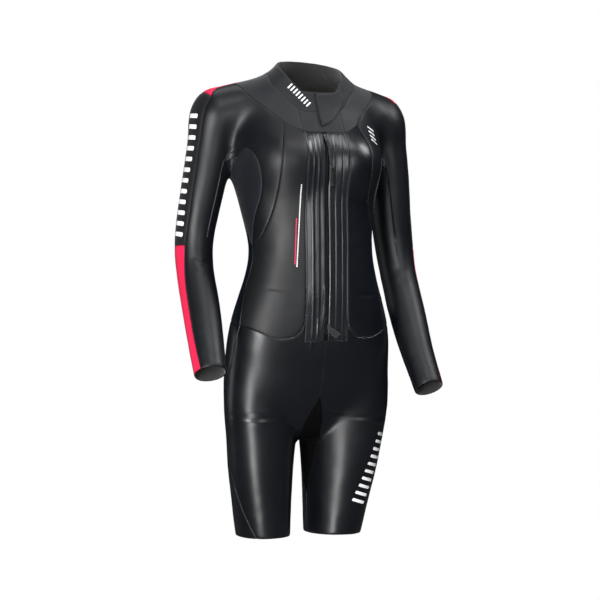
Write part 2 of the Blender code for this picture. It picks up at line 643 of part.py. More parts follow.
def add_object(name, points, faces, colour, roughness=0.45, metallic=0.0, smooth=True):
    mesh = bpy.data.meshes.new(name)
    mesh.from_pydata([tuple(p) for p in points], [], faces)
    mesh.materials.append(material("mat_" + name, colour, roughness, metallic))
    mesh.polygons.foreach_set("use_smooth", [smooth] * len(mesh.polygons))
    made = bpy.data.objects.new(name, mesh)
    bpy.context.collection.objects.link(made)
    return made


BLACK = (0.012, 0.013, 0.016)
GLOSS_BLACK = (0.020, 0.021, 0.024)
RED = (0.72, 0.020, 0.085)
GREY = (0.16, 0.16, 0.17)
COLOURS = {"strip_fore": RED, "strip_shoulder": RED}
COLOURS.update(dict.fromkeys(("front", "zip_band", "sleeve_front", "sleeve_back", "shorts_front",
                              "shorts_back", "back"), GLOSS_BLACK))


def band_ridges(points):
    """The two soft ribs of a zip band, by how far each point is from the middle of the front."""
    lift = np.zeros(len(points))
    for at in BAND_RIBS:
        lift = np.maximum(lift, RIB_HEIGHT * np.clip(1 - np.abs(np.abs(points[:, 0]) - at) / 0.0030, 0, 1))
    return lift


def build_panels():
    nets = {side: seam_points(side) for side in SIDE_NAMES}
    for name, (wall, patches) in PANELS.items():
        groups = [(name, (-1, 1))] if name in ACROSS else [
            (f"{name}_{SIDE_NAMES[side]}", (side,)) for side in SIDE_NAMES]
        for node, sides in groups:
            points, faces = weld([patch(p, *nets[side]) for side in sides for p in patches])
            lift = band_ridges(points) if name == "zip_band" else None
            add_object(node, *panel_body(points, faces, wall, lift), COLOURS.get(name, BLACK))


# ---------------------------------------------------------------- pieces that lie on the panels

FLAP_CORNERS = {"tip": (-0.002, -0.086), "low": (0.0525, -0.026), "rim": (0.050, -0.006),
                "edge": (-0.009, -0.0190)}
FLAP_SEAMS = {
    "flap_round": ("tip", [(0.010, -0.082), (0.022, -0.074), (0.039, -0.056), (0.049, -0.042)], "low", 8),
    "flap_side": ("low", [], "rim", 5),
    "flap_rim": ("edge", [(0.012, -0.0185), (0.030, -0.0175), (0.042, -0.012)], "rim", 8),
    "flap_edge": ("tip", [(-0.0055, -0.070), (-0.0050, -0.050)], "edge", 5),
}
FLAP_CLEARANCE = 0.0005
FLAP_WALL = 0.0020
TAB_CORNERS = {"a": (0.0035, -0.478), "b": (0.020, -0.491), "c": (0.029, -0.481), "d": (0.001, -0.464)}
TAB_SEAMS = {"tab_a": ("a", [], "b", 4), "tab_b": ("b", [], "c", 3), "tab_c": ("d", [], "c", 4),
             "tab_d": ("a", [], "d", 3)}
TAB_CLEARANCE = 0.0014
TAB_WALL = 0.0014


def lying_patch(corners, seams, sides):
    """A patch on the front of the body, between seams given as (x, z) places."""
    at = {name: on_front(1, *xz) for name, xz in corners.items()}
    lines = {}
    for name, (start, between, end, count) in seams.items():
        stops = [at[start], *(on_front(1, *xz) for xz in between), at[end]]
        lines[name] = settle(even_points(np.array(stops), count))
        lines[name][0], lines[name][-1] = at[start], at[end]
    return patch(sides, at, lines)


def build_lying_pieces():
    flap = lying_patch(FLAP_CORNERS, FLAP_SEAMS, ("flap_round", "flap_side", "flap_rim", "flap_edge"))
    points, faces = weld([flap])
    lift = np.full(len(points), FLAP_CLEARANCE + FLAP_WALL)
    add_object("collar_flap", *panel_body(points, faces, -FLAP_CLEARANCE, lift), BLACK)
    tab = lying_patch(TAB_CORNERS, TAB_SEAMS, ("tab_a", "tab_b", "tab_c", "tab_d"))
    points, faces = weld([tab])
    lift = np.full(len(points), TAB_CLEARANCE + TAB_WALL)
    add_object("end_tab", *panel_body(points, faces, -TAB_CLEARANCE, lift), GREY, 0.6)


# ---------------------------------------------------------------- slider and puller

SLIDER_Z = -0.1085
SLIDER_HALF_LENGTH = 0.0080
SLIDER_HALF_WIDTH = 0.0046
SLIDER_FOOT_HALF_WIDTH = 0.0034
SLIDER_LOW = 0.0005
SLIDER_TOP = 0.0030
HINGE_ABOVE = 0.0048
HINGE_UP = 0.0035
BAIL_HALF_WIDTH = 0.0012
BAIL_OUTER = 0.0026
BAIL_HOLE = 0.0013
RING_WIRE = 0.0008
RING_HALF_WIDTH = 0.0034
RING_DROP = 0.0105
PULLER_ROWS = [
    # down, x, height, half_width, half_thick
    (0.0120, 0.0006, 0.0046, 0.0016, 0.0009),
    (0.0150, 0.0010, 0.0044, 0.0024, 0.0012),
    (0.0350, 0.0035, 0.0036, 0.0026, 0.0013),
    (0.0600, 0.0062, 0.0036, 0.0027, 0.0013),
    (0.0640, 0.0066, 0.0038, 0.0046, 0.0018),
    (0.0720, 0.0073, 0.0040, 0.0058, 0.0022),
    (0.0860, 0.0085, 0.0040, 0.0060, 0.0022),
    (0.0960, 0.0094, 0.0040, 0.0052, 0.0020),
    (0.1000, 0.0097, 0.0038, 0.0030, 0.0014),
]


def over_front(x, z, height):
    """A point above the middle of the front, at a height off the surface."""
    at = on_front(1, x, z)
    return at + height * outward(at)


def slider_frame():
    """The slider's middle on the surface, and its out and up directions in the plane x = 0."""
    middle = on_front(1, 0.0, SLIDER_Z)
    out = outward(middle) * np.array((0, 1, 1))
    out /= np.linalg.norm(out)
    return middle, out, np.array((0, -out[2], out[1])) * (1 if out[1] > 0 else -1)


def prism(outline, direction):
    """Points and faces of a closed outline pushed along a direction."""
    outline = np.array(outline)
    count = len(outline)
    points = np.concatenate([outline, outline + direction])
    sides = [[i, (i + 1) % count, (i + 1) % count + count, i + count] for i in range(count)]
    return points, [list(range(count))[::-1], list(range(count, 2 * count)), *sides]


def swept(sections, closed=False):
    """A tube through rings of points, closed round or capped at its ends."""
    count, sides = len(sections), len(sections[0])
    faces = []
    for i in range(count if closed else count - 1):
        a, b = i * sides, (i + 1) % count * sides
        faces += [[a + k, a + (k + 1) % sides, b + (k + 1) % sides, b + k] for k in range(sides)]
    if not closed:
        faces += [list(range(sides))[::-1], list(range((count - 1) * sides, count * sides))]
    return np.concatenate(sections), faces


def facing_outward(made):
    """Turns the faces of an object outward."""
    bpy.ops.object.select_all(action="DESELECT")
    bpy.context.view_layer.objects.active = made
    made.select_set(True)
    bpy.ops.object.mode_set(mode="EDIT")
    bpy.ops.mesh.select_all(action="SELECT")
    bpy.ops.mesh.normals_make_consistent(inside=False)
    bpy.ops.object.mode_set(mode="OBJECT")
    made.select_set(False)


def join(made, other, operation="UNION"):
    """Joins or cuts the first object with the second, which is then removed."""
    facing_outward(made)
    facing_outward(other)
    step = made.modifiers.new("join", "BOOLEAN")
    step.operation = operation
    step.solver = "EXACT"
    step.object = other
    bpy.context.view_layer.objects.active = made
    bpy.ops.object.modifier_apply(modifier=step.name)
    bpy.data.objects.remove(other)


def circle(centre, first, second, radius, count, start=0.0, turn=360.0, ends=False):
    angles = np.radians(start + turn * np.arange(count + ends) / count)[:, None]
    return centre + radius * (np.cos(angles) * first + np.sin(angles) * second)


def build_slider():
    middle, out, up = slider_frame()
    across = np.array((1.0, 0.0, 0.0))
    low = middle + SLIDER_LOW * out
    plan = [(-0.7, 1), (0.7, 1), (1, 0.75), (1, 0.15), (0.74, -0.7), (0.55, -1), (-0.55, -1), (-0.74, -0.7),
            (-1, 0.15), (-1, 0.75)]
    outline = [low + x * SLIDER_HALF_WIDTH * across + z * SLIDER_HALF_LENGTH * up for x, z in plan]
    body = add_object("zip_slider", *prism(outline, (SLIDER_TOP - SLIDER_LOW) * out), GREY, 0.4, 0.6, False)
    hinge = middle + HINGE_ABOVE * out + HINGE_UP * up
    start = hinge - BAIL_HALF_WIDTH * across
    arch = circle(start, up, out, BAIL_OUTER, 12, 0, 180, True)
    feet = [arch[-1] - 0.003 * out - 0.0004 * up, arch[0] - 0.003 * out + 0.0004 * up]
    bail = add_object("bail", *prism([*arch, *feet], 2 * BAIL_HALF_WIDTH * across), GREY, smooth=False)
    join(body, bail)
    hole = circle(start - 0.001 * across, up, out, BAIL_HOLE, 12)
    drill = add_object("drill", *prism(hole, (2 * BAIL_HALF_WIDTH + 0.002) * across), GREY, smooth=False)
    join(body, drill, "DIFFERENCE")
    return hinge, out, up


def build_puller(hinge, out, up):
    across = np.array((1.0, 0.0, 0.0))
    foot = hinge - RING_DROP * up - 0.0002 * out
    corners = [hinge - RING_HALF_WIDTH * across, hinge + RING_HALF_WIDTH * across,
               foot + 0.6 * RING_HALF_WIDTH * across, foot - 0.6 * RING_HALF_WIDTH * across]
    rings = []
    for i, at in enumerate(corners):
        ahead = corners[(i + 1) % 4] - at
        behind = at - corners[i - 1]
        ahead, behind = ahead / np.linalg.norm(ahead), behind / np.linalg.norm(behind)
        bend = behind - ahead
        bend /= np.linalg.norm(bend)
        miter = 1 / np.sqrt((1 + ahead @ behind) / 2)
        rings.append(circle(at, bend * miter, out, RING_WIRE, 8))
    ring = add_object("puller", *swept(rings, closed=True), GREY, 0.5)
    sections = []
    for down, x, height, half_width, half_thick in PULLER_ROWS:
        z = hinge[2] - down
        at = over_front(x, z, height)
        away = outward(on_front(1, x, z))
        wide = half_width * across
        thick = half_thick * away
        sections.append([at + a * wide + b * thick for a, b in
                         ((1, 0), (0.75, 0.8), (0, 1), (-0.75, 0.8), (-1, 0), (-0.75, -0.8), (0, -1),
                          (0.75, -0.8))])
    join(ring, add_object("strap", *swept([np.array(s) for s in sections]), GREY))
    ring.data.transform(Matrix.Translation(Vector(-hinge)))
    ring.location = Vector(hinge)


def main():
    for old in list(bpy.data.objects):
        bpy.data.objects.remove(old)
    build_panels()
    build_lying_pieces()
    build_puller(*build_slider())


main()
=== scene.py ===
"""Look of the swimrun wetsuit: women's cut, filled out with no wearer.

Metres, +Z up. The front faces -Y and the wearer's right side is -X.
The cloth pieces are thin shells on the same body form as the solids, between the same seams.
"""

import bpy
import numpy as np
from mathutils import Matrix, Vector, kdtree, noise


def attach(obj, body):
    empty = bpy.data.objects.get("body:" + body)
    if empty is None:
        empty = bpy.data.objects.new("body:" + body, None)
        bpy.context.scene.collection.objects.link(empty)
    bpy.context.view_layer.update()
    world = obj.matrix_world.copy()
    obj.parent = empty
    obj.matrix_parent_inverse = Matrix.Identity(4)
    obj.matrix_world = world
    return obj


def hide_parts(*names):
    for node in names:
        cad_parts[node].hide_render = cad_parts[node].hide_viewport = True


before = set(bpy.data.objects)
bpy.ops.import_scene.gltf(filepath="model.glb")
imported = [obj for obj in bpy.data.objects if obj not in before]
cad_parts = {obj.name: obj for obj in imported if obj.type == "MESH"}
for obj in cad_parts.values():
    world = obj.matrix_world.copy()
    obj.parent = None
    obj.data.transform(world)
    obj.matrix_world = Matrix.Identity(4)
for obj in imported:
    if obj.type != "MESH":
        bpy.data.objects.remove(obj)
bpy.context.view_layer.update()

# ---------------------------------------------------------------- driving dimensions
BODY_WALL = 0.0028
SLEEVE_WALL = 0.0022
COLLAR_WALL = 0.0020
SEAM_GAP = 0.0003
MOST_MITER = 0.0030

HEM_Z = -0.879
CUFF_Z = {-1: -0.555, 1: -0.590}

SIDE_NAMES = {-1: "right", 1: "left"}

# ---------------------------------------------------------------- sections of the body form


def natural_spline(knots, values):
    """Second derivatives, at the knots, of the smooth curve through each column of values."""
    count = len(knots)
    step = np.diff(knots)
    slope = np.diff(values, axis=0) / step[:, None]
    matrix = np.eye(count)
    target = np.zeros_like(values)
    for i in range(1, count - 1):
        matrix[i, i - 1:i + 2] = step[i - 1], 2 * (step[i - 1] + step[i]), step[i]
        target[i] = 6 * (slope[i] - slope[i - 1])
    return np.linalg.solve(matrix, target)


class Sections:
    """A table of sections, read as smooth functions of its first column."""

    def __init__(self, columns, rows):
        data = np.array(sorted(rows, key=lambda row: row[0]), float)
        self.names = columns.split()[1:]
        self.knots = data[:, 0]
        self.values = data[:, 1:]
        self.bends = natural_spline(self.knots, self.values)

    def __call__(self, at):
        at = np.clip(at, self.knots[0], self.knots[-1])
        i = np.clip(np.searchsorted(self.knots, at) - 1, 0, len(self.knots) - 2)
        step = (self.knots[i + 1] - self.knots[i])[..., None]
        t = (at - self.knots[i])[..., None] / step
        line = self.values[i] * (1 - t) + self.values[i + 1] * t
        bend = ((1 - t) ** 3 - (1 - t)) * self.bends[i] + (t ** 3 - t) * self.bends[i + 1]
        return np.moveaxis(line + bend * step ** 2 / 6, -1, 0)


TORSO = Sections("z half_width front back centre_y power", [
    (0.080, 0.050, 0.054, 0.060, -0.022, 2.0),
    (0.055, 0.054, 0.056, 0.066, -0.020, 2.0),
    (0.034, 0.067, 0.060, 0.076, -0.017, 2.0),
    (0.010, 0.092, 0.067, 0.083, -0.012, 2.0),
    (-0.020, 0.118, 0.075, 0.089, -0.006, 2.1),
    (-0.056, 0.138, 0.088, 0.097, 0.000, 2.3),
    (-0.100, 0.150, 0.107, 0.102, -0.002, 2.4),
    (-0.150, 0.150, 0.115, 0.103, -0.006, 2.4),
    (-0.200, 0.141, 0.108, 0.096, -0.013, 2.3),
    (-0.260, 0.130, 0.097, 0.088, -0.026, 2.2),
    (-0.320, 0.124, 0.085, 0.086, -0.040, 2.2),
    (-0.380, 0.134, 0.085, 0.096, -0.040, 2.2),
    (-0.440, 0.152, 0.088, 0.116, -0.035, 2.2),
    (-0.500, 0.163, 0.087, 0.131, -0.029, 2.2),
    (-0.560, 0.162, 0.080, 0.134, -0.020, 2.25),
    (-0.610, 0.150, 0.072, 0.122, -0.010, 2.3),
    (-0.650, 0.122, 0.058, 0.094, 0.000, 2.2),
    (-0.680, 0.078, 0.038, 0.060, 0.006, 2.0),
    (-0.700, 0.020, 0.015, 0.020, 0.010, 2.0),
])
LEG = Sections("z centre_x centre_y half_width front back power skew", [
    (-0.460, 0.080, -0.020, 0.0300, 0.040, 0.060, 2.0, 0.20),
    (-0.510, 0.085, -0.010, 0.0580, 0.064, 0.085, 2.0, 0.20),
    (-0.560, 0.087, -0.003, 0.0720, 0.077, 0.098, 2.1, 0.22),
    (-0.620, 0.087, 0.002, 0.0765, 0.082, 0.099, 2.1, 0.23),
    (-0.680, 0.0850, 0.008, 0.0720, 0.080, 0.090, 2.1, 0.21),
    (-0.740, 0.0835, 0.014, 0.0665, 0.076, 0.083, 2.1, 0.17),
    (-0.800, 0.0800, 0.021, 0.0605, 0.071, 0.077, 2.1, 0.12),
    (-0.900, 0.0720, 0.030, 0.0510, 0.062, 0.066, 2.1, 0.04),
])
ARM_COLUMNS = "z centre_x centre_y half_width half_depth"
ARM = {
    -1: Sections(ARM_COLUMNS, [
        (-0.030, 0.176, 0.020, 0.0430, 0.048),
        (-0.100, 0.184, 0.022, 0.0435, 0.049),
        (-0.160, 0.193, 0.024, 0.0430, 0.048),
        (-0.230, 0.204, 0.029, 0.0410, 0.044),
        (-0.300, 0.213, 0.036, 0.0375, 0.042),
        (-0.350, 0.216, 0.026, 0.0360, 0.042),
        (-0.410, 0.217, -0.004, 0.0360, 0.043),
        (-0.470, 0.220, -0.042, 0.0350, 0.041),
        (-0.530, 0.223, -0.078, 0.0320, 0.037),
        (-0.620, 0.227, -0.134, 0.0290, 0.034),
    ]),
    1: Sections(ARM_COLUMNS, [
        (-0.030, 0.176, 0.020, 0.0430, 0.048),
        (-0.100, 0.185, 0.022, 0.0435, 0.049),
        (-0.160, 0.193, 0.024, 0.0430, 0.048),
        (-0.230, 0.202, 0.029, 0.0410, 0.044),
        (-0.300, 0.213, 0.036, 0.0385, 0.042),
        (-0.360, 0.220, 0.030, 0.0360, 0.042),
        (-0.430, 0.221, -0.004, 0.0360, 0.043),
        (-0.490, 0.220, -0.040, 0.0340, 0.041),
        (-0.550, 0.222, -0.078, 0.0310, 0.037),
        (-0.640, 0.229, -0.134, 0.0280, 0.034),
    ]),
}
SHOULDER_INNER = np.array((0.055, 0.002, -0.038))
SHOULDER_OUTER = np.array((0.170, 0.020, -0.056))
SHOULDER_RADII = (0.062, 0.052)
BUST_CENTRE = np.array((0.068, -0.082, -0.152))
BUST_RADIUS = 0.047
TORSO_END_Z = -0.69
LEG_START_Z = -0.47
ARM_START_Z = -0.06
BLEND = {"torso_end": 0.02, "leg_start": 0.02, "legs": 0.024, "arm_start": 0.05, "arm": 0.04,
         "bust": 0.072, "shoulder": 0.035}


def smooth_min(a, b, width):
    """The smaller of two distances, rounded over where they are within width of each other."""
    near = np.maximum(width - np.abs(a - b), 0) / width
    return np.minimum(a, b) - near ** 3 * width / 6


def smooth_max(a, b, width):
    return -smooth_min(-a, -b, width)


def egg(x, y, half_width, front, back, power):
    """Distance out of an egg-shaped section, which has its own depth to the front and to the back."""
    radius = np.hypot(x, y) + 1e-9
    toward_back = y / radius
    share = 0.5 + 0.5 * np.sin(np.clip(toward_back, -1, 1) * np.pi / 2)
    depth = front + (back - front) * share
    outline = np.abs(x / radius / half_width) ** power + np.abs(toward_back / depth) ** power
    return radius - np.maximum(outline, 1e-6) ** (-1 / power)


def shoulder_beam(p):
    """Distance out of the tapered round beam from the neck to the point of the shoulder."""
    axis = SHOULDER_OUTER - SHOULDER_INNER
    t = np.clip((p - SHOULDER_INNER) @ axis / (axis @ axis), 0, 1)
    off = np.linalg.norm(p - SHOULDER_INNER - t[..., None] * axis, axis=-1)
    return off - (SHOULDER_RADII[0] + (SHOULDER_RADII[1] - SHOULDER_RADII[0]) * t)


def form(p):
    """Distance-like value: negative inside the body form, positive outside it."""
    x, y, z = p[..., 0], p[..., 1], p[..., 2]
    half_width, front, back, centre_y, power = TORSO(z)
    body = egg(x, y - centre_y, half_width, front, back, power)
    body = smooth_max(body, TORSO_END_Z - z, BLEND["torso_end"])
    for side in (-1, 1):
        centre_x, centre_y, half_width, front, back, power, skew = LEG(z)
        across = x * side - centre_x + skew * (y - centre_y)
        leg = egg(across, y - centre_y, half_width, front, back, power)
        leg = smooth_max(leg, z - LEG_START_Z, BLEND["leg_start"])
        body = smooth_min(body, leg, BLEND["legs"])
    for side in (-1, 1):
        mirrored = p * np.array((side, 1, 1))
        centre_x, centre_y, half_width, half_depth = ARM[side](z)
        arm = 0.95 * egg(mirrored[..., 0] - centre_x, y - centre_y, half_width, half_depth, half_depth, 2)
        arm = smooth_max(arm, z - ARM_START_Z, BLEND["arm_start"])
        sleeve = smooth_min(shoulder_beam(mirrored), arm, BLEND["arm"])
        bust = np.linalg.norm(mirrored - BUST_CENTRE, axis=-1) - BUST_RADIUS
        body = smooth_min(body, bust, BLEND["bust"])
        body = smooth_min(body, sleeve, BLEND["shoulder"])
    return body


def slope(p):
    """Gradient of the form, by central differences."""
    step = 1e-4 * np.eye(3)
    return np.stack([(form(p + e) - form(p - e)) / 2e-4 for e in step], axis=-1)


def outward(p):
    g = slope(p)
    return g / np.linalg.norm(g, axis=-1, keepdims=True)


def settle(p, rounds=6):
    """Moves points onto the form's surface, straight down its slope."""
    for _ in range(rounds):
        g = slope(p)
        p = p - form(p)[..., None] * g / (g * g).sum(-1, keepdims=True)
    return p


# ---------------------------------------------------------------- places on the form


def cast(origin, direction, reach=0.25):
    """The first point where a ray that starts inside the form leaves it."""
    origin, direction = np.array(origin, float), np.array(direction, float)
    direction /= np.linalg.norm(direction)
    steps = np.linspace(0, reach, 126)
    out = np.argmax(form(origin + steps[:, None] * direction) > 0)
    low, high = steps[out - 1], steps[out]
    for _ in range(24):
        middle = (low + high) / 2
        low, high = (middle, high) if form(origin + middle * direction) < 0 else (low, middle)
    return origin + low * direction


def round_the(section_centre, side, degrees, z):
    """degrees turns from straight out sideways to the front."""
    turn = np.radians(degrees)
    return cast((side * section_centre[0], section_centre[1], z), (side * np.cos(turn), -np.sin(turn), 0))


def on_torso(side, degrees, z):
    """degrees is 0 at the middle of the front, 90 at the side and 180 at the middle of the back."""
    centre_y = TORSO(np.array(z))[3]
    return round_the((0, centre_y), side, 90 - degrees, z)


def on_arm(side, degrees, z):
    return round_the(ARM[side](np.array(z))[:2], side, degrees, z)


def on_leg(side, degrees, z):
    return round_the(LEG(np.array(z))[:2], side, degrees, z)


def on_front(side, x, z):
    return cast((side * x, TORSO(np.array(z))[3], z), (0, -1, 0))


# heights inside the form, from which the top of the shoulder, the armpit and the crotch are looked for
CROWN_FROM_Z = -0.08
ARMPIT_FROM_Z = -0.160
CROTCH_FROM_Z = -0.600


def on_crown(side, x, y):
    """The top of the shoulder above a place in the plan."""
    return cast((side * x, y, CROWN_FROM_Z), (0, 0, 1))


def at_cuff(side, degrees, _):
    """The cuff's edge lies in a plane square to the forearm."""
    centre = np.array((*ARM[side](np.array(CUFF_Z[side]))[:2], CUFF_Z[side]))
    further = np.array((*ARM[side](np.array(CUFF_Z[side] - 0.02))[:2], CUFF_Z[side] - 0.02))
    axis = (further - centre) / np.linalg.norm(further - centre)
    z = CUFF_Z[side]
    for _ in range(12):
        place = on_arm(side, degrees, z) * np.array((side, 1, 1))
        z -= ((place - centre) @ axis) / axis[2] * 0.8
    return on_arm(side, degrees, z)


def in_armpit(side, x, y):
    return settle(np.array((side * x, y, ARMPIT_FROM_Z)), 20)


def under_crotch(side, x, y):
    return cast((side * x, y, CROTCH_FROM_Z), (0, 0, -1))


PLACES = {"torso": on_torso, "arm": on_arm, "leg": on_leg, "front": on_front, "crown": on_crown,
          "cuff": at_cuff, "armpit": in_armpit, "under": under_crotch}

# ---------------------------------------------------------------- corners and seams
# A corner is a place on one chart of the form: degrees or x, then z or y. A seam runs from one corner
# through the places between, given by chart, to another corner, and is so many coarse faces long.

CORNERS = {
    "front": {
        "collar_front": (0.000, -0.057), "collar_guard": (0.043, -0.052), "rim_front": (0.000, -0.0165),
        "band_top": (0.043, -0.093), "tongue_start": (0.043, -0.430), "band_end": (0.043, -0.495),
        "chain_top": (0.0038, -0.096), "chain_end": (0.0038, -0.495), "zip_top": (0.000, -0.096),
        "zip_end": (0.000, -0.495), "crotch_front": (0.000, -0.602),
    },
    "torso": {
        "collar_mid": (35, -0.042), "collar_raglan": (150, 0.014), "collar_back": (180, 0.008),
        "rim_guard": (27, -0.0145), "rim_mid": (38, 0.000), "rim_strip_front": (98, 0.043),
        "rim_strip_back": (128, 0.051), "rim_raglan": (152, 0.056), "rim_back": (180, 0.0585),
        "yoke_corner": (40, -0.076), "chest": (37.5, -0.126), "waist": (87, -0.315), "hip": (80, -0.465),
        "tongue_tip": (38, -0.487), "armpit_front": (68, -0.126), "armpit_back": (112, -0.126),
        "crotch_back": (180, -0.640), "seat_top": (180, -0.435),
    },
    "crown": {
        "collar_strip_front": (0.086, 0.001), "collar_strip_back": (0.082, 0.036),
        "raglan_top": (0.139, 0.0088), "shoulder_front": (0.196, -0.014), "shoulder_back": (0.200, 0.040),
    },
    "arm": {
        "arm_front": (46, -0.125), "arm_back": (-16, -0.125), "elbow_front": (44, -0.311),
        "elbow_back": (-18, -0.311),
    },
    "armpit": {
        "armpit": (0.152, 0.029),
    },
    "cuff": {
        "cuff_front": (42, 0), "cuff_back": (-18, 0), "cuff_inner": (178, 0),
    },
    "leg": {
        "thigh_inner": (188, -0.800), "hem_inner": (188, HEM_Z), "hem_side": (60, HEM_Z),
    },
}

